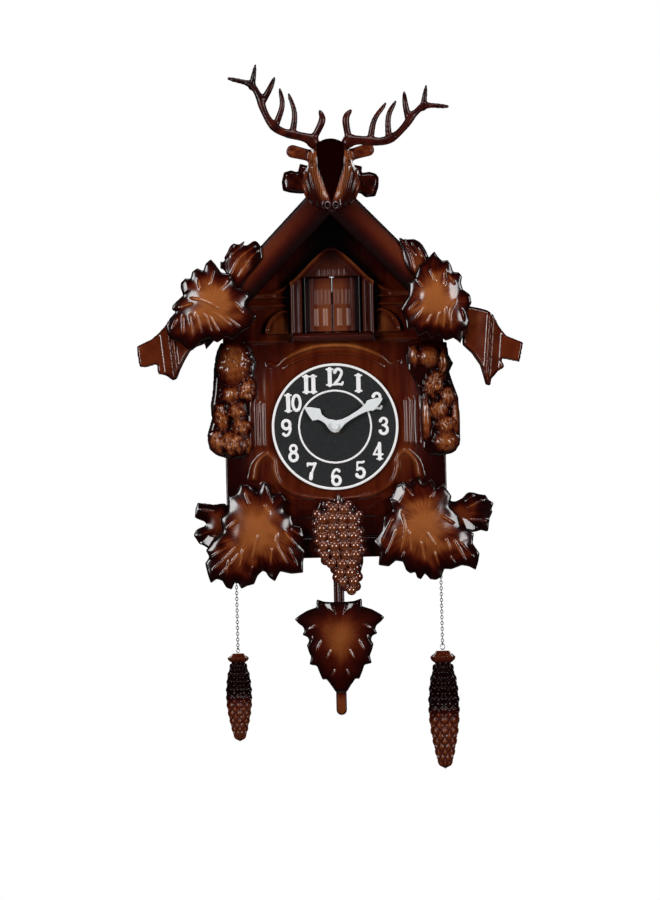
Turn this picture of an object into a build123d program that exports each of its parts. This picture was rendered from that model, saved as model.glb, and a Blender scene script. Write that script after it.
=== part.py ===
from build123d import *
import math
import os

# Battery cuckoo clock with a pendulum, two hanging cone weights and a stag head on the roof.
# Millimetres. +Z is up and -Y is the front. The origin is the centre of the wall-hook keyhole, in the
# rear face of the back cover. A "depth" below is a distance forward from that face, so a depth d
# is y = -d.

# ---------------------------------------------------------------- driving dimensions
CASE_HALF = 101.5
CASE_BOTTOM = -250.5
WALL = 3.0
PANEL_BACK = 88.0
PANEL_FRONT = 91.0
ROOF_RIDGE_Z = 104.0
ROOF_PITCH = 46.0
ROOF_PLATE = 4.0
ROOF_HALF_SPAN = 138.0
ROOF_REAR = 4.0
BARGE_BACK = 132.0
BARGE_FRONT = 140.0
BARGE_DEEP = 40.0
DIAL_Z = -130.0
DIAL_RADIUS = 58.5
DIAL_BACK = 97.0
DIAL_FRONT = 99.5
DOOR_HALF = 25.2
DOOR_TOP = 7.0
DOOR_SILL = -42.5
DOOR_DEPTH = 92.0
DOOR_PIN_RADIUS = 1.0
RUNNING_FIT = 0.06
PIVOT_Z = -170.0
PIVOT_DEPTH = 56.0
PIVOT_PIN_RADIUS = 1.5
ROD_END_Z = -396.3
ROD_HALF = 4.9
BOB_TOP_Z = -288.6
CHAIN_X = 94.5
CHAIN_DEPTH = 50.0
CHAIN_TOP_Z = -255.0
LINK_PITCH = 5.3
LINK_WIRE = 0.4
LINK_BEND = 1.6
LINK_COUNT = 15
KEYHOLE_RADIUS = 5.0
BIRD_TRAVEL = 45.0

ROOF_SLOPE = math.tan(math.radians(ROOF_PITCH))
ROOF_DROP = ROOF_PLATE / math.cos(math.radians(ROOF_PITCH))
CASE_APEX = ROOF_RIDGE_Z - ROOF_DROP - 0.3
CASE_EAVE = CASE_APEX - CASE_HALF * ROOF_SLOPE

os.makedirs("parts", exist_ok=True)


def front_plane(depth):
    """Sketch plane facing the viewer, its x and y running along +X and +Z."""
    return Plane.XZ.offset(depth)


def finish(piece, name):
    piece.part.label = name
    export_step(piece.part, f"parts/{name}.step")


def mirrored(points, side):
    """The outline on the right as drawn, or its mirror image on the left."""
    return [(side * x, z) for x, z in points]


def house_outline(inset):
    """Five-sided gable outline, moved in from the outside of the case by inset."""
    half = CASE_HALF - inset
    apex = CASE_APEX - inset / math.cos(math.radians(ROOF_PITCH))
    eave = apex - half * ROOF_SLOPE
    floor = CASE_BOTTOM + inset
    return [(-half, floor), (half, floor), (half, eave), (0, apex), (-half, eave)]


# ---------------------------------------------------------------- case
SCREW_X = 94.0
SCREW_LOW_Z = -222.0
SCREW_HIGH_Z = -26.0
SCREW_SPOTS = [(s * SCREW_X, z) for s in (-1, 1) for z in (SCREW_LOW_Z, SCREW_HIGH_Z)]
COVER_THICK = 3.0
LEDGE_WIDE = 4.0
SLOT_HALF = 26.0
SLOT_REAR = 46.0
SLOT_FRONT = 68.0
LUG_DROP = 7.0

with BuildPart() as case_body:
    with BuildSketch(front_plane(0)):
        Polygon(*house_outline(0), align=None)
        Polygon(*house_outline(WALL), align=None, mode=Mode.SUBTRACT)
    extrude(amount=PANEL_BACK)
    with BuildSketch(front_plane(COVER_THICK + 0.2)):
        Polygon(*house_outline(WALL), align=None)
        Polygon(*house_outline(WALL + LEDGE_WIDE), align=None, mode=Mode.SUBTRACT)
    extrude(amount=2)
    with BuildSketch(front_plane(COVER_THICK + 0.2)):
        with Locations(*SCREW_SPOTS):
            Circle(5)
    extrude(amount=PANEL_BACK - COVER_THICK - 0.2)
    with BuildSketch(front_plane(COVER_THICK + 0.2)):
        with Locations(*SCREW_SPOTS):
            Circle(1.3)
    extrude(amount=14, mode=Mode.SUBTRACT)
    # slot that the pendulum rod hangs through
    with BuildSketch(Plane.XY.offset(CASE_BOTTOM)):
        with Locations((0, -(SLOT_REAR + SLOT_FRONT) / 2)):
            SlotOverall(2 * SLOT_HALF, SLOT_FRONT - SLOT_REAR)
    extrude(amount=WALL, mode=Mode.SUBTRACT)
    # a pair of lugs on each side holds the pin that a chain hangs from
    for side in (-1, 1):
        for depth in (CHAIN_DEPTH - 5, CHAIN_DEPTH + 3):
            with BuildSketch(front_plane(depth)):
                with Locations((side * CHAIN_X, CHAIN_TOP_Z + 0.5)):
                    Rectangle(6, LUG_DROP + 3)
                with Locations((side * CHAIN_X, CHAIN_TOP_Z)):
                    Circle(0.95, mode=Mode.SUBTRACT)
            extrude(amount=2)
finish(case_body, "case_body")

with BuildPart() as chain_pins:
    for side in (-1, 1):
        with BuildSketch(front_plane(CHAIN_DEPTH - 6)):
            with Locations((side * CHAIN_X, CHAIN_TOP_Z)):
                Circle(0.9)
        extrude(amount=12)
finish(chain_pins, "chain_pins")

# ---------------------------------------------------------------- front panel with its raised mouldings
ARCH_CHORD = 49.0
ARCH_CROWN_Z = -54.0
ARCH_FOOT_Z = -68.0
FLUTE_X = [61.5, 65.5, 69.5]
FLUTE_TOP_Z = -103.0
FLUTE_FOOT_Z = -152.0
QUARTER_X = 39.2
QUARTER_Z = -43.5
QUARTER_RADIUS = 22.0
SCROLL_OUTLINE = [(53, -176), (60, -186), (72, -184), (75, -172), (71, -157), (64, -154), (61, -164)]
WING_OUTLINE = [(39.2, -4), (39.2, 3), (52, -1), (66, -10), (66, -16), (52, -9)]
BUSH_RADIUS = 4.0
POST_SPOTS = [(-84, -112), (-44, -112), (-84, -158), (-44, -158)]

with BuildPart() as front_panel:
    with BuildSketch(front_plane(PANEL_BACK)):
        Polygon(*house_outline(0), align=None)
        with Locations((0, DIAL_Z)):
            Circle(BUSH_RADIUS + 0.2, mode=Mode.SUBTRACT)
        with Locations((0, (DOOR_TOP + DOOR_SILL) / 2)):
            Rectangle(2 * DOOR_HALF + 6, DOOR_TOP - DOOR_SILL + 3, mode=Mode.SUBTRACT)
    extrude(amount=PANEL_FRONT - PANEL_BACK)
    # round seat behind the dial
    with BuildSketch(front_plane(PANEL_FRONT)):
        with Locations((0, DIAL_Z)):
            Circle(DIAL_RADIUS + 1)
            Circle(BUSH_RADIUS + 0.2, mode=Mode.SUBTRACT)
    extrude(amount=DIAL_BACK - PANEL_FRONT)
    # arch moulding over the dial
    with BuildSketch(front_plane(PANEL_FRONT)):
        with BuildLine():
            ThreePointArc((-ARCH_CHORD, ARCH_FOOT_Z), (0, ARCH_CROWN_Z), (ARCH_CHORD, ARCH_FOOT_Z))
            Line((ARCH_CHORD, ARCH_FOOT_Z), (ARCH_CHORD + 3, ARCH_FOOT_Z - 5))
            ThreePointArc(
                (ARCH_CHORD + 3, ARCH_FOOT_Z - 5),
                (0, ARCH_CROWN_Z - 5),
                (-ARCH_CHORD - 3, ARCH_FOOT_Z - 5),
            )
            Line((-ARCH_CHORD - 3, ARCH_FOOT_Z - 5), (-ARCH_CHORD, ARCH_FOOT_Z))
        make_face()
    extrude(amount=7)
    for side in (-1, 1):
        for flute in FLUTE_X:
            with BuildSketch(front_plane(PANEL_FRONT)):
                with Locations((side * flute, (FLUTE_TOP_Z + FLUTE_FOOT_Z) / 2)):
                    SlotOverall(FLUTE_TOP_Z - FLUTE_FOOT_Z, 3, rotation=90)
            extrude(amount=6)
        with BuildSketch(front_plane(PANEL_FRONT)):
            with BuildLine():
                Line((side * QUARTER_X, QUARTER_Z), (side * (QUARTER_X + QUARTER_RADIUS), QUARTER_Z))
                start = 0 if side > 0 else 180
                CenterArc((side * QUARTER_X, QUARTER_Z), QUARTER_RADIUS, start, 90 * side)
                Line((side * QUARTER_X, QUARTER_Z + QUARTER_RADIUS), (side * QUARTER_X, QUARTER_Z))
            make_face()
        extrude(amount=5)
        with BuildSketch(front_plane(PANEL_FRONT)):
            Polygon(*mirrored(SCROLL_OUTLINE, side), align=None)
            Polygon(*mirrored(WING_OUTLINE, side), align=None)
        extrude(amount=6)
    # posts behind the panel that carry the circuit board
    with BuildSketch(front_plane(61.6)):
        with Locations(*POST_SPOTS):
            Circle(3)
    extrude(amount=PANEL_BACK - 61.6)
finish(front_panel, "front_panel")

# ---------------------------------------------------------------- back cover
SPEAKER_X = -50.0
SPEAKER_Z = -200.0
SPEAKER_RADIUS = 26.0
WINDOW_HALF = 31.0
BATTERY_LEFT = 28.0
BATTERY_RIGHT = 86.0
BATTERY_LOW = -236.0
BATTERY_HIGH = -176.0
BATTERY_DEEP = 33.0
SWITCH_X = -6.0
SWITCH_Z = -200.0
SWITCH_STROKE = 3.0
HATCH_CENTRE = ((BATTERY_LEFT + BATTERY_RIGHT) / 2, (BATTERY_LOW + BATTERY_HIGH) / 2)

with BuildPart() as back_cover:
    with BuildSketch(front_plane(0)):
        Polygon(*house_outline(WALL + 0.2), align=None)
        # keyhole: a round entry and a narrow slot above it
        Circle(KEYHOLE_RADIUS, mode=Mode.SUBTRACT)
        with Locations((0, KEYHOLE_RADIUS + 2)):
            SlotOverall(9, 4, rotation=90, mode=Mode.SUBTRACT)
        with Locations((0, DIAL_Z)):
            RectangleRounded(2 * WINDOW_HALF, 2 * WINDOW_HALF, 6, mode=Mode.SUBTRACT)
        with Locations(HATCH_CENTRE):
            Rectangle(BATTERY_RIGHT - BATTERY_LEFT, BATTERY_HIGH - BATTERY_LOW, mode=Mode.SUBTRACT)
        with Locations((SWITCH_X, SWITCH_Z)):
            Rectangle(2 * SWITCH_STROKE + 5, 5, mode=Mode.SUBTRACT)
        # sound holes over the speaker
        with Locations((SPEAKER_X, SPEAKER_Z)):
            Circle(2, mode=Mode.SUBTRACT)
            with PolarLocations(8, 6):
                Circle(2, mode=Mode.SUBTRACT)
            with PolarLocations(16, 12):
                Circle(2, mode=Mode.SUBTRACT)
        with Locations(*SCREW_SPOTS):
            Circle(1.8, mode=Mode.SUBTRACT)
    extrude(amount=COVER_THICK)
    # recesses for the screw heads
    with BuildSketch(front_plane(0)):
        with Locations(*SCREW_SPOTS):
            Circle(3.3)
    extrude(amount=2, mode=Mode.SUBTRACT)
    # box for two cells, open at the back
    with BuildSketch(front_plane(COVER_THICK)):
        with Locations(HATCH_CENTRE):
            Rectangle(BATTERY_RIGHT - BATTERY_LEFT + 3, BATTERY_HIGH - BATTERY_LOW + 3)
            Rectangle(BATTERY_RIGHT - BATTERY_LEFT, BATTERY_HIGH - BATTERY_LOW, mode=Mode.SUBTRACT)
    extrude(amount=BATTERY_DEEP - COVER_THICK)
    with BuildSketch(front_plane(BATTERY_DEEP)):
        with Locations(HATCH_CENTRE):
            Rectangle(BATTERY_RIGHT - BATTERY_LEFT + 3, BATTERY_HIGH - BATTERY_LOW + 3)
    extrude(amount=1.5)
    # raised collar that centres the speaker
    with BuildSketch(front_plane(COVER_THICK)):
        with Locations((SPEAKER_X, SPEAKER_Z)):
            Circle(SPEAKER_RADIUS + 2)
            Circle(SPEAKER_RADIUS + 0.2, mode=Mode.SUBTRACT)
    extrude(amount=4)
    # sockets for the stub pins of the battery door, along its lower edge
    with BuildSketch(Plane.YZ.offset(BATTERY_LEFT - 2)):
        with Locations((-1.6, BATTERY_LOW + 1.8)):
            Circle(1.2 + RUNNING_FIT)
    extrude(amount=BATTERY_RIGHT - BATTERY_LEFT + 4, mode=Mode.SUBTRACT)
finish(back_cover, "back_cover")

with BuildPart() as back_screws:
    with BuildSketch(front_plane(0.3)):
        with Locations(*SCREW_SPOTS):
            Circle(3)
    extrude(amount=1.7)
    with BuildSketch(front_plane(2)):
        with Locations(*SCREW_SPOTS):
            Circle(1.3)
    extrude(amount=12)
    with BuildSketch(front_plane(0.3)):
        with Locations(*SCREW_SPOTS):
            Rectangle(3.4, 0.8)
            Rectangle(0.8, 3.4)
    extrude(amount=1, mode=Mode.SUBTRACT)
finish(back_screws, "back_screws")

HINGE_Z = BATTERY_LOW + 1.8
HINGE_DEPTH = 1.6

with BuildPart() as battery_door:
    with BuildSketch(front_plane(0.4)):
        with Locations((HATCH_CENTRE[0], HATCH_CENTRE[1] + 0.9)):
            Rectangle(BATTERY_RIGHT - BATTERY_LEFT - 0.8, BATTERY_HIGH - HINGE_Z - 1.8)
    extrude(amount=2.4)
    with BuildSketch(Plane.YZ.offset(BATTERY_LEFT + 0.4)):
        with Locations((-HINGE_DEPTH, HINGE_Z)):
            Circle(1.2)
        with Locations((-HINGE_DEPTH, HINGE_Z + 1)):
            Rectangle(2.4, 2)
    extrude(amount=BATTERY_RIGHT - BATTERY_LEFT - 0.8)
    with BuildSketch(Plane.YZ.offset(BATTERY_LEFT - 1.5)):
        with Locations((-HINGE_DEPTH, HINGE_Z)):
            Circle(1.2)
    extrude(amount=BATTERY_RIGHT - BATTERY_LEFT + 3)
    # finger groove along the upper edge
    with BuildSketch(Plane.YZ.offset(HATCH_CENTRE[0] - 9)):
        with Locations((-0.4, BATTERY_HIGH - 6)):
            Circle(1.2)
    extrude(amount=18, mode=Mode.SUBTRACT)
finish(battery_door, "battery_door")

CELL_RADIUS = 13.0
CELL_LONG = 49.0
CELL_SPOTS = [HATCH_CENTRE[1] - 14.2, HATCH_CENTRE[1] + 14.2]

with BuildPart() as battery_cells:
    for cell_z in CELL_SPOTS:
        with BuildSketch(Plane.YZ.offset(HATCH_CENTRE[0] - CELL_LONG / 2)):
            with Locations((-(COVER_THICK + 1 + CELL_RADIUS), cell_z)):
                Circle(CELL_RADIUS)
        extrude(amount=CELL_LONG - 2)
        with BuildSketch(Plane.YZ.offset(HATCH_CENTRE[0] + CELL_LONG / 2 - 2)):
            with Locations((-(COVER_THICK + 1 + CELL_RADIUS), cell_z)):
                Circle(3.2)
        extrude(amount=2)
finish(battery_cells, "battery_cells")

with BuildPart() as battery_contacts:
    for cell_z in CELL_SPOTS:
        with BuildSketch(Plane.YZ.offset(BATTERY_LEFT)):
            with Locations((-(COVER_THICK + 1 + CELL_RADIUS), cell_z)):
                Circle(6)
                Circle(3, mode=Mode.SUBTRACT)
        extrude(amount=HATCH_CENTRE[0] - CELL_LONG / 2 - BATTERY_LEFT)
        with BuildSketch(Plane.YZ.offset(HATCH_CENTRE[0] + CELL_LONG / 2)):
            with Locations((-(COVER_THICK + 1 + CELL_RADIUS), cell_z)):
                Rectangle(14, 14)
        extrude(amount=0.8)
finish(battery_contacts, "battery_contacts")

with BuildPart() as chime_switch:
    with BuildSketch(front_plane(COVER_THICK + 0.3)):
        with Locations((SWITCH_X, SWITCH_Z)):
            Rectangle(18, 9)
    extrude(amount=1.5)
    with BuildSketch(front_plane(0.3)):
        with Locations((SWITCH_X, SWITCH_Z)):
            Rectangle(4, 4.2)
    extrude(amount=COVER_THICK)
finish(chime_switch, "chime_switch")

with BuildPart() as speaker:
    with BuildSketch(front_plane(COVER_THICK)):
        with Locations((SPEAKER_X, SPEAKER_Z)):
            Circle(SPEAKER_RADIUS)
            Circle(SPEAKER_RADIUS - 3, mode=Mode.SUBTRACT)
    extrude(amount=3)
    with BuildSketch(front_plane(COVER_THICK + 3)):
        with Locations((SPEAKER_X, SPEAKER_Z)):
            Circle(SPEAKER_RADIUS)
    extrude(amount=9, taper=38)
    with BuildSketch(front_plane(COVER_THICK + 11)):
        with Locations((SPEAKER_X, SPEAKER_Z)):
            Circle(14)
    extrude(amount=9)
finish(speaker, "speaker")

with BuildPart() as circuit_board:
    with BuildSketch(front_plane(60)):
        with Locations((-64, -135)):
            Rectangle(50, 56)
    extrude(amount=1.6)
    with BuildSketch(front_plane(57.5)):
        with Locations((-64, -130)):
            Rectangle(14, 9)
        with Locations((-50, -150), (-78, -150)):
            Circle(4)
    extrude(amount=2.5)
finish(circuit_board, "circuit_board")

# ---------------------------------------------------------------- roof
BARGE_HALF_SPAN = 118.0


def roof_half(side):
    """One pitched roof board with the bargeboard along its front edge."""
    foot_z = ROOF_RIDGE_Z - ROOF_HALF_SPAN * ROOF_SLOPE
    barge_z = ROOF_RIDGE_Z - BARGE_HALF_SPAN * ROOF_SLOPE
    gap = 0.05
    board = [
        (gap, ROOF_RIDGE_Z - gap),
        (ROOF_HALF_SPAN, foot_z),
        (ROOF_HALF_SPAN, foot_z - ROOF_DROP),
        (gap, ROOF_RIDGE_Z - ROOF_DROP - gap),
    ]
    barge = [
        (gap, ROOF_RIDGE_Z - gap),
        (BARGE_HALF_SPAN, barge_z),
        (BARGE_HALF_SPAN, barge_z - BARGE_DEEP),
        (gap, ROOF_RIDGE_Z - BARGE_DEEP),
    ]
    with BuildPart() as roof:
        with BuildSketch(front_plane(ROOF_REAR)):
            Polygon(*mirrored(board, side), align=None)
        extrude(amount=BARGE_BACK - ROOF_REAR)
        with BuildSketch(front_plane(BARGE_BACK)):
            Polygon(*mirrored(barge, side), align=None)
        extrude(amount=BARGE_FRONT - BARGE_BACK)
    return roof


roof_left = roof_half(-1)
finish(roof_left, "roof_left")
roof_right = roof_half(1)
finish(roof_right, "roof_right")

# carved ends of the roof: two folds of a ribbon-like branch and a pointed drop
END_LEFT = [
    (-118.3, -22), (-146, -23), (-155, -35), (-167, -45), (-181.4, -51.6), (-179, -72), (-172.7, -73),
    (-163, -70.4), (-161.4, -79.2), (-152.6, -80.8), (-147.6, -84.6), (-143.8, -82.8), (-140.5, -74.6),
    (-131, -58), (-118.3, -52),
]
END_RIGHT = [
    (118.3, -24), (136, -24.6), (147, -30), (152, -40), (160, -49.5), (175.6, -56.3), (171.4, -76),
    (155, -72.4), (156.6, -80.7), (144.4, -89.6), (143.3, -96), (138.8, -95), (134, -77), (126.6, -66),
    (118.3, -58),
]


def flat_carving(outline, back, thick):
    with BuildPart() as carving:
        with BuildSketch(front_plane(back)):
            Polygon(*outline, align=None)
        extrude(amount=thick)
    return carving


roof_end_left = flat_carving(END_LEFT, BARGE_BACK, 12)
finish(roof_end_left, "roof_end_left")
roof_end_right = flat_carving(END_RIGHT, BARGE_BACK, 12)
finish(roof_end_right, "roof_end_right")

# ---------------------------------------------------------------- stag head on the peak of the roof
HEAD_X = 1.5
BRACKET_FRONT = 152.0
NAPE = (HEAD_X, -154, 92)
BROW = (HEAD_X, -166, 113)
MUZZLE = (HEAD_X, -189, 74)
BAR_OUTLINE = [(-43, 87), (-43, 104), (-29, 104), (30, 102), (43, 101), (46, 97), (42, 80), (28, 80)]

head_bracket = flat_carving(BAR_OUTLINE, BARGE_FRONT, BRACKET_FRONT - BARGE_FRONT)
finish(head_bracket, "head_bracket")


def cone_between(start, end, radius_a, radius_b):
    """Tapered round rod from one point to another, a little slimmer than the balls at its ends."""
    run = Vector(*end) - Vector(*start)
    with Locations(Plane(origin=start, z_dir=run)):
        Cone(0.95 * radius_a, 0.95 * radius_b, run.length, align=(Align.CENTER, Align.CENTER, Align.MIN))


def ball(centre, radius):
    with Locations(centre):
        Sphere(radius)


with BuildPart() as stag_head:
    # mane, widest where it meets the bar
    with BuildSketch(front_plane(BRACKET_FRONT)):
        with Locations((HEAD_X, 90)):
            Ellipse(27, 23)
    with BuildSketch(front_plane(BRACKET_FRONT + 10)):
        with Locations((HEAD_X, 94)):
            Ellipse(21, 20)
    loft()
    ball(BROW, 18)
    cone_between(NAPE, BROW, 18, 17)
    cone_between(BROW, MUZZLE, 16, 8)
    ball(MUZZLE, 7)
    for side in (-1, 1):
        tip = (HEAD_X + side * 37, -164, 124)
        cone_between((HEAD_X + side * 10, -164, 117), tip, 4, 5)
        ball(tip, 5.2)
    # flat back of the head, on the bar
    split(bisect_by=front_plane(BRACKET_FRONT), keep=Keep.TOP)
finish(stag_head, "stag_head")

# one antler, drawn outward and upward from its burr; the left one is its mirror image, turned up
BEAM = [
    (0, 0), (3, 2.5), (12, 3), (27.6, 1.2), (41.5, 3.6), (53.7, 14.4), (61.3, 23.9),
    (72.5, 32.8), (93.3, 31.9),
]
TINES = [
    [(3, 2.5), (0.4, 16.9), (0.6, 24.8), (4.9, 30.3)],
    [(22, 2.5), (26.2, 20.9), (36.7, 35.9)],
    [(39, 3.5), (39.2, 23.9), (46, 37.6)],
    [(58, 20), (55.1, 33.7), (54.1, 45.7)],
    [(71, 31), (74.3, 51.1)],
]
ANTLER_DEPTH = 165.0
BURR_RIGHT = (16.2, 130.6)
BURR_LEFT = (-12.9, 131.3)
LEFT_TURN = 20.0


def antler(side, burr, turn):
    def place(point):
        u, v = point
        across = u * math.cos(math.radians(turn)) - v * math.sin(math.radians(turn))
        up = u * math.sin(math.radians(turn)) + v * math.cos(math.radians(turn))
        return (burr[0] + side * across, -ANTLER_DEPTH, burr[1] + up)

    with BuildPart() as horn:
        for branch, thick, slim in [(BEAM, 3.4, 0.25)] + [(tine, 2.4, 0.35) for tine in TINES]:
            for i, point in enumerate(branch):
                if i > 0 or branch is BEAM:
                    ball(place(point), thick - slim * i)
                if i > 0:
                    start_radius = thick - slim * (i - 1)
                    end_radius = thick - slim * i
                    cone_between(place(branch[i - 1]), place(point), start_radius, end_radius)
        # plug that enters the skull
        with Locations(Plane(origin=place((0, 0)), z_dir=(-side * 0.6, 0, -1))):
            Cylinder(2.2, 6, align=(Align.CENTER, Align.CENTER, Align.MIN))
    return horn


antler_left = antler(-1, BURR_LEFT, LEFT_TURN)
finish(antler_left, "antler_left")
antler_right = antler(1, BURR_RIGHT, 0)
finish(antler_right, "antler_right")

# ---------------------------------------------------------------- carved leaves
UPPER_BACK_LEFT = [(-67, 38), (-78, 44), (-96, 33), (-102, 18), (-98, -4), (-88, -10), (-74, 10)]
UPPER_BACK_RIGHT = [(59, 38), (62, 48.5), (76, 41.5), (86, 34), (90, 24), (98, 8), (86, -8), (74, 4)]
UPPER_FRONT_LEFT = [
    (-110.5, 26.8), (-118, 15), (-124, 17), (-134, 8), (-138.7, 1.7), (-137, -7),
    (-146.5, -16), (-153.3, -33),
    (-148, -48), (-128.6, -57.4), (-114, -47), (-92, -47), (-76, -38), (-68.5, -27),
    (-79, -16), (-78, -4),
    (-92, 12), (-101, 14),
]
UPPER_FRONT_RIGHT = [
    (94.8, 29.4), (101.9, 20), (109.2, 17.5), (112, 9.6), (120, 5.3), (120.6, -7),
    (128.1, -19.3), (124, -40),
    (116, -56), (104, -54), (86, -50), (67.5, -44), (62, -24), (70, -10), (76, 6), (86, 20),
]
LOWER_BACK_LEFT = [
    (-128.7, -196.4), (-131.8, -211), (-122.2, -216.8), (-135.8, -226), (-127.8, -237.8), (-112, -244),
    (-96, -226), (-100, -196),
]
LOWER_BACK_RIGHT = [
    (102, -194.4), (115.2, -197.5), (128.2, -191.4), (137.4, -194.3), (145.4, -203.3), (145.7, -213.9),
    (140.2, -231.7), (124.5, -231.3), (104, -238), (92, -216),
]
LOWER_FRONT_LEFT = [
    (-122, -241), (-123, -253), (-118, -272), (-107.4, -269.6), (-98.4, -278.6), (-92.7, -273.6),
    (-88.2, -277.9), (-77.6, -273.5), (-69.5, -264), (-58.6, -271.6), (-53.4, -264.4), (-32.2, -264),
    (-29.5, -244), (-32.6, -221), (-41.6, -211), (-48, -192), (-62.9, -178.6), (-74, -190),
    (-88.7, -180.7),
    (-100, -194), (-104, -214),
]
LOWER_FRONT_RIGHT = [
    (36.4, -258.8), (46.5, -260.3), (59.1, -256), (63.9, -267.2), (70.3, -265.9),
    (75.7, -273), (79.5, -267.5),
    (89.5, -273.7), (103.5, -264.4), (113.7, -260.6), (126.5, -265.9), (130.5, -249.4), (124.5, -231.3),
    (112, -216), (104, -196), (98, -182), (84, -190), (72, -178), (56, -183), (48, -201),
    (40, -224), (30, -242),
]


def leaf(outline, back, thick, crown_at, crown_radius, crown_high):
    """Flat lobed leaf with a low round crown on its front face."""
    with BuildPart() as carved:
        with BuildSketch(front_plane(back)):
            Polygon(*outline, align=None)
        extrude(amount=thick)
        with BuildSketch(front_plane(back + thick)):
            with Locations(crown_at):
                Circle(crown_radius)
        extrude(amount=crown_high, taper=50)
    return carved


upper_leaf_back_left = flat_carving(UPPER_BACK_LEFT, BARGE_FRONT + 0.2, 4)
finish(upper_leaf_back_left, "upper_leaf_back_left")
upper_leaf_back_right = flat_carving(UPPER_BACK_RIGHT, BARGE_FRONT + 0.2, 4)
finish(upper_leaf_back_right, "upper_leaf_back_right")
upper_leaf_front_left = leaf(UPPER_FRONT_LEFT, BARGE_FRONT + 4.4, 7, (-106, -16), 20, 8)
finish(upper_leaf_front_left, "upper_leaf_front_left")
upper_leaf_front_right = leaf(UPPER_FRONT_RIGHT, BARGE_FRONT + 4.4, 7, (94, -14), 20, 8)
finish(upper_leaf_front_right, "upper_leaf_front_right")
lower_leaf_back_left = flat_carving(LOWER_BACK_LEFT, PANEL_FRONT + 0.2, 6)
finish(lower_leaf_back_left, "lower_leaf_back_left")
lower_leaf_back_right = flat_carving(LOWER_BACK_RIGHT, PANEL_FRONT + 0.2, 6)
finish(lower_leaf_back_right, "lower_leaf_back_right")
lower_leaf_front_left = leaf(LOWER_FRONT_LEFT, PANEL_FRONT + 6.4, 9, (-76, -226), 24, 9)
finish(lower_leaf_front_left, "lower_leaf_front_left")
lower_leaf_front_right = leaf(LOWER_FRONT_RIGHT, PANEL_FRONT + 6.4, 9, (84, -224), 24, 9)
finish(lower_leaf_front_right, "lower_leaf_front_right")

# -------------------------------------------------------- game reliefs on each side, and the grapes
RELIEF_LEFT = [
    (-104, -50), (-111, -73), (-112, -88), (-115, -108), (-118.5, -135), (-116.5, -148), (-103, -157),
    (-80, -158), (-76, -148), (-73, -110), (-72, -82), (-80, -54),
]
RELIEF_RIGHT = [
    (105.5, -54), (108, -82), (114.6, -105), (115.2, -149), (108.8, -157), (98, -160),
    (80, -158), (78, -108),
    (66, -80), (66, -57),
]


def relief(outline, lumps, back, thick):
    """Carved trophy: a base plate with rounded bodies lying on it."""
    with BuildPart() as carved:
        with BuildSketch(front_plane(back)):
            Polygon(*outline, align=None)
        extrude(amount=thick)
        for x, z, radius in lumps:
            with Locations((x, -(back + thick), z)):
                Sphere(radius)
        split(bisect_by=front_plane(back), keep=Keep.TOP)
    return carved


side_relief_left = relief(
    RELIEF_LEFT, [(-92, -72, 13), (-78, -94, 10), (-98, -110, 10), (-98, -140, 15)], PANEL_FRONT + 0.2, 7
)
finish(side_relief_left, "side_relief_left")
side_relief_right = relief(
    RELIEF_RIGHT, [(84, -70, 11), (92, -92, 10), (97, -116, 13), (100, -142, 13)], PANEL_FRONT + 0.2, 7
)
finish(side_relief_right, "side_relief_right")

BERRY_RADIUS = 5.2
BERRY_STEP = 11.0
BERRY_ROWS = [(3, 0.5), (4, -0.5), (5, 0.3), (4, 1.2), (4, 2.5), (3, 5.5), (2, 8.5)]
GRAPE_TOP_Z = -204.0
GRAPE_BACK = PANEL_FRONT + 6.0

with BuildPart() as grape_cluster:
    with BuildSketch(front_plane(PANEL_FRONT + 0.2)):
        Polygon(
            (-20, -196), (16, -196), (27, -222), (28, -252), (14, -276),
            (2, -268), (-22, -244), align=None
        )
    extrude(amount=GRAPE_BACK - PANEL_FRONT - 0.2)
    for row, (count, shift) in enumerate(BERRY_ROWS):
        row_z = GRAPE_TOP_Z - row * 0.94 * BERRY_STEP
        for i in range(count):
            berry_x = shift + (i - (count - 1) / 2) * BERRY_STEP
            with Locations((berry_x, -(GRAPE_BACK + 3.5), row_z)):
                Sphere(BERRY_RADIUS)
    with Locations((1, -(GRAPE_BACK + 3), -200)):
        Cone(2.6, 1.8, 7, align=(Align.CENTER, Align.CENTER, Align.MIN))
finish(grape_cluster, "grape_cluster")

# ---------------------------------------------------------------- gabled niche and the cuckoo's doors
FRAME_FRONT = 103.0
OPENING_HALF = DOOR_HALF + 2.6

with BuildPart() as door_frame:
    with BuildSketch(front_plane(PANEL_FRONT)):
        Polygon((-39, -46), (39, -46), (39, 4), (0, 36), (-39, 4), align=None)
        with Locations((0, (DOOR_TOP + DOOR_SILL) / 2)):
            Rectangle(2 * OPENING_HALF, DOOR_TOP - DOOR_SILL + 2, mode=Mode.SUBTRACT)
    extrude(amount=FRAME_FRONT - PANEL_FRONT)
    # porch ledge below the doors
    with BuildSketch(front_plane(PANEL_FRONT)):
        with Locations((0, DOOR_SILL - 5)):
            Rectangle(72, 7)
    extrude(amount=20)
    # holes for the hinge pins
    with BuildSketch(Plane.XY.offset(DOOR_SILL - 5)):
        with Locations((-DOOR_HALF, -DOOR_DEPTH), (DOOR_HALF, -DOOR_DEPTH)):
            Circle(DOOR_PIN_RADIUS)
    extrude(amount=DOOR_TOP - DOOR_SILL + 9, mode=Mode.SUBTRACT)
finish(door_frame, "door_frame")

with BuildPart() as door_pins:
    with BuildSketch(Plane.XY.offset(DOOR_SILL - 5)):
        with Locations((-DOOR_HALF, -DOOR_DEPTH), (DOOR_HALF, -DOOR_DEPTH)):
            Circle(DOOR_PIN_RADIUS)
    extrude(amount=DOOR_TOP - DOOR_SILL + 9)
finish(door_pins, "door_pins")


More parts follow.
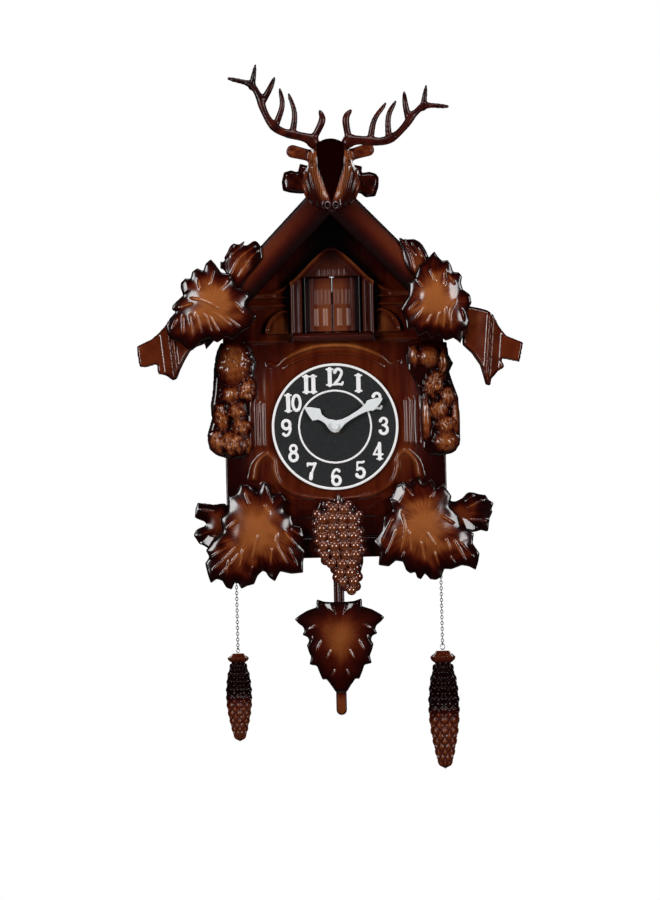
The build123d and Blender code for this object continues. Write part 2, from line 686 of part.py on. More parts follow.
def door_leaf(side):
    """Ribbed shutter that turns on a pin along its outer edge."""
    with BuildPart() as shutter:
        with BuildSketch(Plane.XY.offset(DOOR_SILL)):
            with Locations((side * (DOOR_HALF + 0.3) / 2, -DOOR_DEPTH)):
                Rectangle(DOOR_HALF - 0.3, 2.2)
            with Locations((side * DOOR_HALF, -DOOR_DEPTH)):
                Circle(2)
        extrude(amount=DOOR_TOP - DOOR_SILL)
        with BuildSketch(Plane.XY.offset(DOOR_SILL)):
            with Locations((side * DOOR_HALF, -DOOR_DEPTH)):
                Circle(DOOR_PIN_RADIUS + RUNNING_FIT)
        extrude(amount=DOOR_TOP - DOOR_SILL, mode=Mode.SUBTRACT)
        with BuildSketch(front_plane(DOOR_DEPTH + 1.1)):
            with Locations(*[(side * x, (DOOR_TOP + DOOR_SILL) / 2) for x in (2, 6.5, 11, 15.5)]):
                SlotOverall(DOOR_TOP - DOOR_SILL - 8, 2.4, rotation=90)
        extrude(amount=0.9)
    return shutter


door_leaf_left = door_leaf(-1)
finish(door_leaf_left, "door_leaf_left")
door_leaf_right = door_leaf(1)
finish(door_leaf_right, "door_leaf_right")

# ---------------------------------------------------------------- dial
NUMERAL_RADIUS = 44.6
RING_WIDE = 3.2
INNER_RING_RADIUS = 35.5
PRINT_THICK = 0.5

with BuildPart() as dial_plate:
    with BuildSketch(front_plane(DIAL_BACK)):
        with Locations((0, DIAL_Z)):
            Circle(DIAL_RADIUS)
            Circle(BUSH_RADIUS + 0.2, mode=Mode.SUBTRACT)
    extrude(amount=DIAL_FRONT - DIAL_BACK)
finish(dial_plate, "dial_plate")

# strokes of each figure, in a box 7 wide and 13 high about its centre
DIGIT_STROKES = {
    "0": [[(0, 6.5), (3.2, 0), (0, -6.5)], [(0, -6.5), (-3.2, 0), (0, 6.5)]],
    "1": [[(0, 6.5), (0, -6.5)], [(-2.2, -6.5), (2.2, -6.5)], [(-2, 5), (0, 6.5)]],
    "2": [[(-3, 3.5), (0.6, 6.5), (2.2, 1.8)], [(2.2, 1.8), (-3, -6.5)], [(-3, -6.5), (3.2, -6.5)]],
    "3": [[(-2.8, 5), (2.6, 3.6), (-0.6, 0.6)], [(-0.6, 0.6), (3.2, -3.2), (-3, -5.4)]],
    "4": [[(1.6, -6.5), (1.6, 6.5)], [(1.6, 6.5), (-3.2, -2.8)], [(-3.2, -2.8), (3.4, -2.8)]],
    "5": [
        [(2.8, 6.4), (-2.4, 6.4)],
        [(-2.4, 6.4), (-2.8, 0.8)],
        [(-2.8, 0.8), (3.4, -2.4), (-2.8, -5.6)],
    ],
    "6": [[(2.6, 5.8), (-3.1, 0.6), (0, -6.5)], [(0, -6.5), (3.1, -2.8), (0, 1)], [(0, 1), (-2.9, -2)]],
    "7": [[(-3.2, 6.3), (3.2, 6.3)], [(3.2, 6.3), (-0.6, -6.5)]],
    "8": [[(0, 0.6), (2.7, 3.6), (0, 6.5)], [(0, 6.5), (-2.7, 3.6), (0, 0.6)],
          [(0, 0.6), (-3.2, -3), (0, -6.5)], [(0, -6.5), (3.2, -3), (0, 0.6)]],
    "9": [[(-2.6, -5.8), (3.1, -0.6), (0, 6.5)], [(0, 6.5), (-3.1, 2.8), (0, -1)], [(0, -1), (2.9, 2)]],
}
DIGIT_STEP = 8.0

with BuildPart() as dial_markings:
    with BuildSketch(front_plane(DIAL_FRONT)):
        with Locations((0, DIAL_Z)):
            Circle(DIAL_RADIUS)
            Circle(DIAL_RADIUS - RING_WIDE, mode=Mode.SUBTRACT)
    extrude(amount=2 * PRINT_THICK)
    with BuildSketch(front_plane(DIAL_FRONT)):
        with Locations((0, DIAL_Z)):
            Circle(INNER_RING_RADIUS)
            Circle(INNER_RING_RADIUS - 2.6, mode=Mode.SUBTRACT)
    extrude(amount=PRINT_THICK)

    for hour in range(1, 13):
        angle = math.radians(90 - 30 * hour)
        centre_x = NUMERAL_RADIUS * math.cos(angle)
        centre_z = DIAL_Z + NUMERAL_RADIUS * math.sin(angle)
        figures = str(hour)
        for place_no, figure in enumerate(figures):
            figure_x = centre_x + (place_no - (len(figures) - 1) / 2) * DIGIT_STEP
            with BuildSketch(front_plane(DIAL_FRONT)):
                for stroke in DIGIT_STROKES[figure]:
                    points = [(figure_x + x, centre_z + z) for x, z in stroke]
                    with BuildLine() as pen:
                        if len(points) == 3:
                            ThreePointArc(*points)
                        else:
                            Line(*points)
                    trace(pen.line, line_width=2)
            extrude(amount=PRINT_THICK)
finish(dial_markings, "dial_markings")

# ---------------------------------------------------------------- clock movement
MOVEMENT_HALF = 28.0
MOVEMENT_BACK = 66.0
COVER_BACK = 63.5
MODULE_HOURS = 0.5
MODULE_MINUTES = 25 * MODULE_HOURS / 24
CENTRE_DISTANCE = 12.5
MOTION_X = CENTRE_DISTANCE * math.cos(math.radians(-45))
MOTION_Z = DIAL_Z + CENTRE_DISTANCE * math.sin(math.radians(-45))
KNOB_X = 2 * MOTION_X
KNOB_Z = DIAL_Z + 2 * (MOTION_Z - DIAL_Z)
TUBE_RADIUS = 3.2
TUBE_BORE = 2.1
ARBOR_RADIUS = 2.04


def gear_outline(teeth, module, centre, phase, pressure=20.0):
    """Involute gear outline with a little backlash; phase turns a tooth to that angle in degrees."""
    pitch_r = teeth * module / 2
    base_r = pitch_r * math.cos(math.radians(pressure))
    tip_r = pitch_r + 0.85 * module
    root_r = pitch_r - 1.25 * module
    half_tooth = math.pi / (2 * teeth) - 0.12 * module / pitch_r

    def involute(radius):
        alpha = math.acos(min(1.0, base_r / radius))
        return math.tan(alpha) - alpha

    flank = []
    start_r = max(base_r, root_r)
    for step in range(4):
        radius = start_r + (tip_r - start_r) * step / 3
        flank.append((radius, half_tooth + involute(pitch_r) - involute(radius)))
    outline = []
    for tooth in range(teeth):
        middle = math.radians(phase) + 2 * math.pi * tooth / teeth
        rise = [(root_r, flank[0][1])] + flank
        profile = [(r, middle - a) for r, a in rise] + [(r, middle + a) for r, a in reversed(rise)]
        outline += [(centre[0] + r * math.cos(t), centre[1] + r * math.sin(t)) for r, t in profile]
    return outline


with BuildPart() as movement_case:
    with BuildSketch(front_plane(MOVEMENT_BACK)):
        with Locations((0, DIAL_Z)):
            RectangleRounded(2 * MOVEMENT_HALF, 2 * MOVEMENT_HALF, 4)
            RectangleRounded(2 * MOVEMENT_HALF - 4, 2 * MOVEMENT_HALF - 4, 2, mode=Mode.SUBTRACT)
    extrude(amount=PANEL_BACK - MOVEMENT_BACK)
    with BuildSketch(front_plane(PANEL_BACK - 3)):
        with Locations((0, DIAL_Z)):
            RectangleRounded(2 * MOVEMENT_HALF - 3, 2 * MOVEMENT_HALF - 3, 2)
    extrude(amount=3)
    with BuildSketch(front_plane(PANEL_BACK - 1)):
        with Locations((0, DIAL_Z)):
            Circle(BUSH_RADIUS)
    extrude(amount=14.6)
    with BuildSketch(front_plane(PANEL_BACK - 4)):
        with Locations((0, DIAL_Z)):
            Circle(TUBE_RADIUS + RUNNING_FIT)
    extrude(amount=20, mode=Mode.SUBTRACT)
    # stub that the motion wheel turns on
    with BuildSketch(front_plane(68)):
        with Locations((MOTION_X, MOTION_Z)):
            Circle(0.9)
    extrude(amount=18)
finish(movement_case, "movement_case")

with BuildPart() as movement_cover:
    with BuildSketch(front_plane(COVER_BACK)):
        with Locations((0, DIAL_Z)):
            RectangleRounded(2 * MOVEMENT_HALF, 2 * MOVEMENT_HALF, 4)
        with Locations((KNOB_X, KNOB_Z)):
            Circle(1.5 + RUNNING_FIT, mode=Mode.SUBTRACT)
    extrude(amount=MOVEMENT_BACK - COVER_BACK)
    with BuildSketch(front_plane(COVER_BACK - 1)):
        with Locations((-12, DIAL_Z + 12)):
            RectangleRounded(22, 22, 3)
    extrude(amount=1)
    # tab below the housing, with the headed pin that the pendulum swings on
    with BuildSketch(front_plane(COVER_BACK)):
        with Locations((0, PIVOT_Z + 8)):
            RectangleRounded(22, 28, 3)
    extrude(amount=MOVEMENT_BACK - COVER_BACK)
    with BuildSketch(front_plane(PIVOT_DEPTH - 4)):
        with Locations((0, PIVOT_Z)):
            Circle(PIVOT_PIN_RADIUS)
    extrude(amount=COVER_BACK + 1 - PIVOT_DEPTH + 4)
    with BuildSketch(front_plane(PIVOT_DEPTH - 5)):
        with Locations((0, PIVOT_Z)):
            Circle(2.6)
    extrude(amount=1.2)
finish(movement_cover, "movement_cover")

with BuildPart() as drive_coil:
    with BuildSketch(front_plane(70)):
        with Locations((-15, DIAL_Z + 13)):
            Rectangle(14, 20)
    extrude(amount=2)
    with BuildSketch(front_plane(72)):
        with Locations((-15, DIAL_Z + 13)):
            RectangleRounded(9, 18, 3)
    extrude(amount=8)
finish(drive_coil, "drive_coil")

with BuildPart() as movement_nut:
    with BuildSketch(front_plane(DIAL_FRONT)):
        with Locations((0, DIAL_Z)):
            RegularPolygon(7, 6)
            Circle(BUSH_RADIUS + 0.02, mode=Mode.SUBTRACT)
    extrude(amount=1.6)
finish(movement_nut, "movement_nut")

with BuildPart() as minute_arbor:
    with BuildSketch(front_plane(66.6)):
        with Locations((0, DIAL_Z)):
            Circle(ARBOR_RADIUS)
    extrude(amount=106.6 - 66.6)
    with BuildSketch(front_plane(70)):
        Polygon(*gear_outline(12, MODULE_MINUTES, (0, DIAL_Z), 135), align=None)
    extrude(amount=4)
finish(minute_arbor, "minute_arbor")

with BuildPart() as hour_wheel:
    with BuildSketch(front_plane(75)):
        with Locations((0, DIAL_Z)):
            Circle(TUBE_RADIUS)
    extrude(amount=104 - 75)
    with BuildSketch(front_plane(76)):
        Polygon(*gear_outline(40, MODULE_HOURS, (0, DIAL_Z), 0), align=None)
    extrude(amount=2)
    with BuildSketch(front_plane(74)):
        with Locations((0, DIAL_Z)):
            Circle(TUBE_BORE)
    extrude(amount=32, mode=Mode.SUBTRACT)
finish(hour_wheel, "hour_wheel")

with BuildPart() as motion_wheel:
    with BuildSketch(front_plane(70.5)):
        Polygon(*gear_outline(36, MODULE_MINUTES, (MOTION_X, MOTION_Z), 0), align=None)
    extrude(amount=2)
    with BuildSketch(front_plane(72.5)):
        Polygon(*gear_outline(10, MODULE_HOURS, (MOTION_X, MOTION_Z), 135 + 18), align=None)
    extrude(amount=6)
    with BuildSketch(front_plane(70)):
        with Locations((MOTION_X, MOTION_Z)):
            Circle(0.9 + RUNNING_FIT)
    extrude(amount=10, mode=Mode.SUBTRACT)
finish(motion_wheel, "motion_wheel")

KNOB_RADIUS = 7.0
KNOB_RIBS = 18

with BuildPart() as set_knob:
    with BuildSketch(front_plane(54)):
        with Locations((KNOB_X, KNOB_Z)):
            Circle(KNOB_RADIUS)
            with PolarLocations(KNOB_RADIUS, KNOB_RIBS):
                Circle(0.6, mode=Mode.SUBTRACT)
    extrude(amount=8.6)
    with BuildSketch(front_plane(62)):
        with Locations((KNOB_X, KNOB_Z)):
            Circle(1.5)
    extrude(amount=11)
    with BuildSketch(front_plane(70)):
        Polygon(*gear_outline(12, MODULE_MINUTES, (KNOB_X, KNOB_Z), 135), align=None)
    extrude(amount=3)
finish(set_knob, "set_knob")

# ---------------------------------------------------------------- hands
MINUTE_ANGLE = 30.0
HOUR_ANGLE = 145.0
MINUTE_HAND = [(0, 2.4), (14, 2.0), (30, 4.6), (38, 5.2), (46, 3.2), (57, 0.5)]
HOUR_HAND = [(0, 3.2), (9, 3.4), (17, 6.0), (19, 6.6), (25, 5.6), (26, 4.6), (36, 0.5)]


def hand(profile, angle, back, thick, bore, hub):
    """Flat hand pointing along angle from +X, with half widths stated at distances from the centre."""
    turn = math.radians(angle)
    edge = [(r, w) for r, w in profile] + [(r, -w) for r, w in reversed(profile)]
    outline = [
        (r * math.cos(turn) - w * math.sin(turn), DIAL_Z + r * math.sin(turn) + w * math.cos(turn))
        for r, w in edge
    ]
    with BuildPart() as pointer:
        with BuildSketch(front_plane(back)):
            Polygon(*outline, align=None)
            with Locations((0, DIAL_Z)):
                Circle(hub)
                Circle(bore, mode=Mode.SUBTRACT)
        extrude(amount=thick)
    return pointer


hour_hand = hand(HOUR_HAND, HOUR_ANGLE, 102.4, 1.2, TUBE_RADIUS, 5.6)
finish(hour_hand, "hour_hand")
minute_hand = hand(MINUTE_HAND, MINUTE_ANGLE, 104.4, 1.0, ARBOR_RADIUS, 5.0)
finish(minute_hand, "minute_hand")

with BuildPart() as hand_nut:
    with BuildSketch(front_plane(105.4)):
        with Locations((0, DIAL_Z)):
            Circle(3.6)
    extrude(amount=2.2, taper=15)
    with BuildSketch(front_plane(105.4)):
        with Locations((0, DIAL_Z)):
            Circle(ARBOR_RADIUS)
    extrude(amount=1.2, mode=Mode.SUBTRACT)
finish(hand_nut, "hand_nut")

# ---------------------------------------------------------------- pendulum
HANGER_BACK = PIVOT_DEPTH - 2.0
ROD_BACK = PIVOT_DEPTH + 2.3
ROD_THICK = 3.0
BOB_BACK = ROD_BACK + ROD_THICK

with BuildPart() as pendulum_hanger:
    with BuildSketch(front_plane(HANGER_BACK)):
        with Locations((0, PIVOT_Z)):
            Circle(5)
        with Locations((0, PIVOT_Z - 16)):
            Rectangle(7, 32)
        with Locations((0, PIVOT_Z)):
            Circle(PIVOT_PIN_RADIUS + RUNNING_FIT, mode=Mode.SUBTRACT)
    extrude(amount=ROD_BACK - HANGER_BACK)
    with BuildSketch(front_plane(ROD_BACK)):
        with Locations((0, PIVOT_Z - 28)):
            Circle(1.6)
    extrude(amount=ROD_THICK + 1)
finish(pendulum_hanger, "pendulum_hanger")

with BuildPart() as pendulum_rod:
    rod_top = PIVOT_Z - 22
    with BuildSketch(front_plane(ROD_BACK)):
        with Locations((0, (rod_top + ROD_END_Z) / 2)):
            SlotOverall(rod_top - ROD_END_Z, 2 * ROD_HALF, rotation=90)
        with Locations((0, PIVOT_Z - 28)):
            Circle(1.65, mode=Mode.SUBTRACT)
    extrude(amount=ROD_THICK)
finish(pendulum_rod, "pendulum_rod")

BOB_HALF_OUTLINE = [
    (0, -291.5), (7.5, -291.6), (20.9, -288.6), (21, -295), (41.9, -306.6), (32.7, -316.3), (34, -321.8),
    (28.5, -323.6), (29.3, -335.5), (27.6, -350), (22, -350.4), (17, -363.5), (14.1, -362.8),
    (5.2, -375),
]

with BuildPart() as pendulum_bob:
    with BuildSketch(front_plane(BOB_BACK)):
        with BuildLine():
            Polyline(*BOB_HALF_OUTLINE)
            Polyline(*mirrored(BOB_HALF_OUTLINE, -1))
            Line((-5.2, -375), (5.2, -375))
        make_face()
    extrude(amount=5)
    with BuildSketch(front_plane(BOB_BACK + 5)):
        with Locations((0, -326)):
            Circle(20)
    extrude(amount=5, taper=60)
finish(pendulum_bob, "pendulum_bob")

# ---------------------------------------------------------------- cuckoo and its drive
BIRD_NOSE = 78.0
BIRD_Z = -22.0
RAIL_HALF = 4.0
RAIL_BOTTOM = -41.6
RAIL_TOP = -36.5
RACK_MODULE = 1.0
PINION_TEETH = 14
PINION_RADIUS = PINION_TEETH * RACK_MODULE / 2
RACK_PITCH_Z = RAIL_BOTTOM
PINION_DEPTH = 66.0
PINION_Z = RACK_PITCH_Z - PINION_RADIUS

with BuildPart() as bird_body:
    with Locations((0, -56, BIRD_Z)):
        Sphere(9.5)
    cone_between((0, -54, BIRD_Z), (0, -38, BIRD_Z - 2), 9, 5.5)
    cone_between((0, -42, BIRD_Z - 2), (0, -24, BIRD_Z - 3), 5, 2.8)
    with Locations((0, -64, BIRD_Z + 8)):
        Sphere(7)
    with Locations((0, -55, RAIL_TOP)):
        Cylinder(2.5, 10, align=(Align.CENTER, Align.CENTER, Align.MIN))
    for side in (-1, 1):
        with BuildSketch(Plane.YZ.offset(side * 8)):
            with Locations((-48, BIRD_Z + 1)):
                Ellipse(12, 6)
        extrude(amount=side * 2.6)
finish(bird_body, "bird_body")

with BuildPart() as bird_beak:
    with Locations(Plane(origin=(0, -70.7, BIRD_Z + 8), z_dir=(0, -1, -0.1))):
        Cone(2.2, 0.4, BIRD_NOSE - 70.7, align=(Align.CENTER, Align.CENTER, Align.MIN))
finish(bird_beak, "bird_beak")


def rack_outline(first, last, centre):
    """Straight rack teeth pointing down, in (y, z), with a gap centred on the given y."""
    pitch = math.pi * RACK_MODULE
    points = []
    slope = math.tan(math.radians(20))
    tip = RACK_PITCH_Z - 0.8 * RACK_MODULE
    root = RACK_PITCH_Z + 1.2 * RACK_MODULE
    half = pitch / 4 - 0.12 * RACK_MODULE
    for tooth in range(first, last):
        middle = centre + (tooth + 0.5) * pitch
        points += [
            (middle - half - 1.2 * slope, root),
            (middle - half + 0.8 * slope, tip),
            (middle + half - 0.8 * slope, tip),
            (middle + half + 1.2 * slope, root),
        ]
    return points


with BuildPart() as bird_rack:
    teeth = rack_outline(-1, 16, -PINION_DEPTH)
    rear_y = teeth[-1][0] + 1
    front_y = teeth[0][0] - 1
    root_z = RACK_PITCH_Z + 1.2 * RACK_MODULE
    with BuildSketch(Plane.YZ.offset(-RAIL_HALF)):
        Polygon(
            (front_y, RAIL_TOP), (front_y, root_z), *teeth,
            (rear_y, root_z), (rear_y, RAIL_TOP), align=None
        )
    extrude(amount=2 * RAIL_HALF)
finish(bird_rack, "bird_rack")


def pinion_outline():
    """The drive pinion seen along X, in (y, z), with a tooth pointing up into the rack."""
    return gear_outline(PINION_TEETH, RACK_MODULE, (-PINION_DEPTH, PINION_Z), 90)


with BuildPart() as bird_pinion:
    with BuildSketch(Plane.YZ.offset(-2.5)):
        Polygon(*pinion_outline(), align=None)
    extrude(amount=5)
    with BuildSketch(Plane.YZ.offset(-4)):
        with Locations((-PINION_DEPTH, PINION_Z)):
            Circle(1.2)
    extrude(amount=20)
finish(bird_pinion, "bird_pinion")

with BuildPart() as bird_motor:
    with BuildSketch(Plane.YZ.offset(9)):
        with Locations((-PINION_DEPTH, PINION_Z)):
            Circle(9)
    extrude(amount=24)
    with BuildSketch(Plane.YZ.offset(9)):
        with Locations((-PINION_DEPTH, PINION_Z)):
            Circle(1.2 + RUNNING_FIT)
    extrude(amount=8, mode=Mode.SUBTRACT)
finish(bird_motor, "bird_motor")

GUIDE_WALL_IN = RAIL_HALF + 0.35
GUIDE_WALL_OUT = GUIDE_WALL_IN + 2

with BuildPart() as bird_guide:
    for side in (-1, 1):
        with BuildSketch(Plane.YZ.offset(side * GUIDE_WALL_IN)):
            with BuildLine():
                Polyline((-10, -44), (-PANEL_BACK, -44), (-PANEL_BACK, -37), (-10, -37), close=True)
            make_face()
        extrude(amount=side * 2)
        with BuildSketch(front_plane(10)):
            with Locations((side * (GUIDE_WALL_IN - 0.65), -43.4)):
                Rectangle(1.4, 1.2)
        extrude(amount=PANEL_BACK - 10)
    # rear bridge that joins the two rails, and a hanging plate that carries the motor
    with BuildSketch(front_plane(10)):
        with Locations((0, -44.5)):
            Rectangle(2 * GUIDE_WALL_OUT, 3)
    extrude(amount=4)
    with BuildSketch(front_plane(PANEL_BACK - 4)):
        with Locations((0, -46.5)):
            Rectangle(40, 5)
    extrude(amount=4)
    with BuildSketch(Plane.YZ.offset(GUIDE_WALL_IN)):
        with Locations((-PINION_DEPTH, -49)):
            Rectangle(20, 12)
        with Locations((-PINION_DEPTH, PINION_Z)):
            Circle(2, mode=Mode.SUBTRACT)
    extrude(amount=9 - GUIDE_WALL_IN)
finish(bird_guide, "bird_guide")

# ---------------------------------------------------------------- chains and cone weights
LINK_HALF = 1.5
LAST_LINK_Z = CHAIN_TOP_Z - (LINK_COUNT - 1) * LINK_PITCH


def chain_link(top_z, x, across):
    """Oval link of round wire; its upper bend is centred at top_z."""
    base = Plane.XZ if across else Plane.YZ
    centre = (x, -CHAIN_DEPTH, top_z - LINK_HALF)
    plane = Plane(origin=centre, x_dir=base.x_dir, z_dir=base.z_dir)
    with BuildLine(plane) as track:
        Line((-LINK_BEND, -LINK_HALF), (-LINK_BEND, LINK_HALF))
        ThreePointArc((-LINK_BEND, LINK_HALF), (0, LINK_HALF + LINK_BEND), (LINK_BEND, LINK_HALF))
        Line((LINK_BEND, LINK_HALF), (LINK_BEND, -LINK_HALF))
        ThreePointArc((LINK_BEND, -LINK_HALF), (0, -LINK_HALF - LINK_BEND), (-LINK_BEND, -LINK_HALF))
    with BuildPart() as link:
        with BuildSketch(Plane(origin=track.line @ 0, z_dir=track.line % 0)):
            Circle(LINK_WIRE)
        sweep(path=track.line)
    return link.part


def chain(side):
    with BuildPart() as links:
        for number in range(LINK_COUNT):
            add(chain_link(CHAIN_TOP_Z - number * LINK_PITCH, side * CHAIN_X, number % 2 == 0))
    return links


chain_left = chain(-1)
finish(chain_left, "chain_left")
chain_right = chain(1)
finish(chain_right, "chain_right")

# half profile of the larger cone weight: distance below its eye, and radius
CONE_PROFILE = [
    (7, 0), (9, 8.5), (11.5, 10.4), (17, 7.2), (22, 9), (38, 12.8), (52, 13.8), (66, 13),
    (84, 10.6), (100, 8),
    (109, 6.4), (113, 3.5), (114, 0),
]
EYE_BEND = 1.6


def cone_weight(side, scale):
    """Pine-cone weight with a wire eye that the last link passes through."""
    eye_z = LAST_LINK_Z - 2 * LINK_HALF - 2.0
    x = side * CHAIN_X
    with BuildPart() as weight:
        with BuildSketch(Plane(origin=(x, -CHAIN_DEPTH, eye_z), x_dir=(1, 0, 0), z_dir=(0, -1, 0))):
            Polygon(*[(scale * r, -scale * d) for d, r in CONE_PROFILE], align=None)
        revolve(axis=Axis((x, -CHAIN_DEPTH, 0), (0, 0, 1)))
    with BuildLine(Plane(origin=(x, -CHAIN_DEPTH, eye_z), x_dir=(0, 1, 0), z_dir=(1, 0, 0))) as eye:
        Line((-EYE_BEND, -scale * 9), (-EYE_BEND, 0))
        ThreePointArc((-EYE_BEND, 0), (0, EYE_BEND), (EYE_BEND, 0))
        Line((EYE_BEND, 0), (EYE_BEND, -scale * 9))
    with BuildPart() as loop:
        with BuildSketch(Plane(origin=eye.line @ 0, z_dir=eye.line % 0)):
            Circle(0.6)
        sweep(path=eye.line)
    with BuildPart() as whole:
        add(weight.part)
        add(loop.part)
    return whole


weight_left = cone_weight(-1, 0.74)
finish(weight_left, "weight_left")
weight_right = cone_weight(1, 1.0)
finish(weight_right, "weight_right")
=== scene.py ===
import math

import bpy
import numpy as np
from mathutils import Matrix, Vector


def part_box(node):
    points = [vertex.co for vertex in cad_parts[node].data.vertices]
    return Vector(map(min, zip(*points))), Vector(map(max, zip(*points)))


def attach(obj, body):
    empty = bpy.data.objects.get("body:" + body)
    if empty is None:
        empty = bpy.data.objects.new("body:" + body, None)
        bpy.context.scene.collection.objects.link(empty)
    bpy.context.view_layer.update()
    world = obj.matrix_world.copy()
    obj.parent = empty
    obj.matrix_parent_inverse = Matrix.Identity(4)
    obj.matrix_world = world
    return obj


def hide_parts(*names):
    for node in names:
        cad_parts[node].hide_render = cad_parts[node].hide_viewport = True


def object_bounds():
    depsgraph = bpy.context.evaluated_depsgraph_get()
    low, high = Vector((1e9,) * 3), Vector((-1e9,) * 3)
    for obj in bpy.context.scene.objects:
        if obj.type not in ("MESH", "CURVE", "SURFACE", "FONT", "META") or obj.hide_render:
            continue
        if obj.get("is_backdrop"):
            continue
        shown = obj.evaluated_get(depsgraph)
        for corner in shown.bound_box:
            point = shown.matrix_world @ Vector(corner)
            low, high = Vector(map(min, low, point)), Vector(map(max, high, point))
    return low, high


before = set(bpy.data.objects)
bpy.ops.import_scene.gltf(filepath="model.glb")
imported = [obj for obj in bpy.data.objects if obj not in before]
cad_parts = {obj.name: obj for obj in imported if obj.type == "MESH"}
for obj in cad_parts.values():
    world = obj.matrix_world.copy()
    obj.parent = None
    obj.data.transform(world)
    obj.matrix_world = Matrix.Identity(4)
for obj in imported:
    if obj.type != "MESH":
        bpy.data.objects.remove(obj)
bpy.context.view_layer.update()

MM = 0.001

# ---- driving dimensions, millimetres
# Points are (x, depth, z): depth grows from the wall towards the viewer, z is up from the hanging point.
DIAL_Z = -130.0
PANEL = 91.0  # depth of the front panel's flat face
PANEL_BACK = 88.0
BARGE_BACK, BARGE_FRONT = 132.0, 140.0
LEAF_BACK = 144.4  # the upper leaves stand in front of the bargeboard
RIDGE_Z, PITCH = 104.0, math.tan(math.radians(46))
SLOPE = math.hypot(1, PITCH)
CASE_HALF, CASE_BOTTOM = 101.5, -250.5
NICHE_MID = -17.75
SIDES = {-1: "left", 1: "right"}


# ---- distance fields
def smooth(low, high, value):
    t = np.clip((value - low) / (high - low), 0, 1)
    return t * t * (3 - 2 * t)


def band(value, low, low_full, high_full, high):
    """1 between the two full levels, fading to 0 outside low and high."""
    return smooth(low, low_full, value) * (1 - smooth(high_full, high, value))


def ridge(distance, width):
    """Rounded crest: 1 on the line, fading over about a width."""
    return np.exp(-(distance / width) ** 2)


def smax(a, b, soft):
    return 0.5 * (a + b + np.sqrt((a - b) ** 2 + soft * soft))


def smin(a, b, soft):
    return -smax(-a, -b, soft)


def to_segment(x, z, ax, az, bx, bz):
    """Distance to a segment, and how far along it the nearest point lies."""
    dx, dz = bx - ax, bz - az
    along = np.clip(((x - ax) * dx + (z - az) * dz) / (dx * dx + dz * dz + 1e-12), 0, 1)
    return np.hypot(x - ax - along * dx, z - az - along * dz), along


def outline_distance(x, z, outline):
    """Signed distance to a closed outline, negative inside."""
    best = np.full(np.shape(x), 1e9)
    inside = np.zeros(np.shape(x), bool)
    for (ax, az), (bx, bz) in zip(outline, outline[1:] + outline[:1]):
        best = np.minimum(best, to_segment(x, z, ax, az, bx, bz)[0])
        crosses = (az > z) != (bz > z)
        with np.errstate(divide="ignore", invalid="ignore"):
            inside ^= crosses & (x < (bx - ax) * (z - az) / (bz - az + 1e-12) + ax)
    return np.where(inside, -best, best)


def line_distance(x, z, points):
    """Distance to an open polyline."""
    best = np.full(np.shape(x), 1e9)
    for (ax, az), (bx, bz) in zip(points, points[1:]):
        best = np.minimum(best, to_segment(x, z, ax, az, bx, bz)[0])
    return best


def arc(cx, cz, rx, rz, first, last, steps=10):
    """Points along an ellipse between two angles in degrees."""
    turns = np.radians(np.linspace(first, last, steps + 1))
    return [(cx + rx * math.cos(t), cz + rz * math.sin(t)) for t in turns]


def mirrored(half):
    """A symmetric outline from its right half; points on the middle line aren't doubled."""
    return half + [(-x, z) for x, z in half[::-1] if x]


def curve_through(points, steps=5):
    """Smooth path through a few points."""
    p = np.array(points, float)
    padded = np.vstack([2 * p[0] - p[1], p, 2 * p[-1] - p[-2]])
    path = []
    for a, b, c, d in zip(padded, padded[1:], padded[2:], padded[3:]):
        for t in np.arange(steps) / steps:
            path.append(0.5 * (2 * b + (c - a) * t + (2 * a - 5 * b + 4 * c - d) * t * t
                               + (3 * b - a - 3 * c + d) * t ** 3))
    return np.array(path + [p[-1]])


def turned(degrees):
    """Cosine and sine of an angle in degrees."""
    return math.cos(math.radians(degrees)), math.sin(math.radians(degrees))


def blur(field, times):
    for _ in range(times):
        for axis in range(field.ndim):
            ahead = np.roll(field, 1, axis)
            behind = np.roll(field, -1, axis)
            field = (ahead + 2 * field + behind) / 4
    return field


def waves(x, z, scale, seed):
    """Soft pseudo-random relief made of a few crossed sine waves, about -1 to 1."""
    made = np.random.default_rng(seed)
    total = np.zeros(np.shape(x))
    for _ in range(7):
        turn = made.uniform(0, 2 * math.pi)
        rate = made.uniform(0.6, 1.6) / scale
        total = total + np.sin((x * math.cos(turn) + z * math.sin(turn)) * rate * 2 * math.pi
                               + made.uniform(0, 6.28))
    return total / 3.5


# ---- meshes
def box_mm(node):
    """The least and greatest x, depth and z of a CAD node, in millimetres."""
    low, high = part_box(node)
    return (low.x / MM, -high.y / MM, low.z / MM), (high.x / MM, -low.y / MM, high.z / MM)


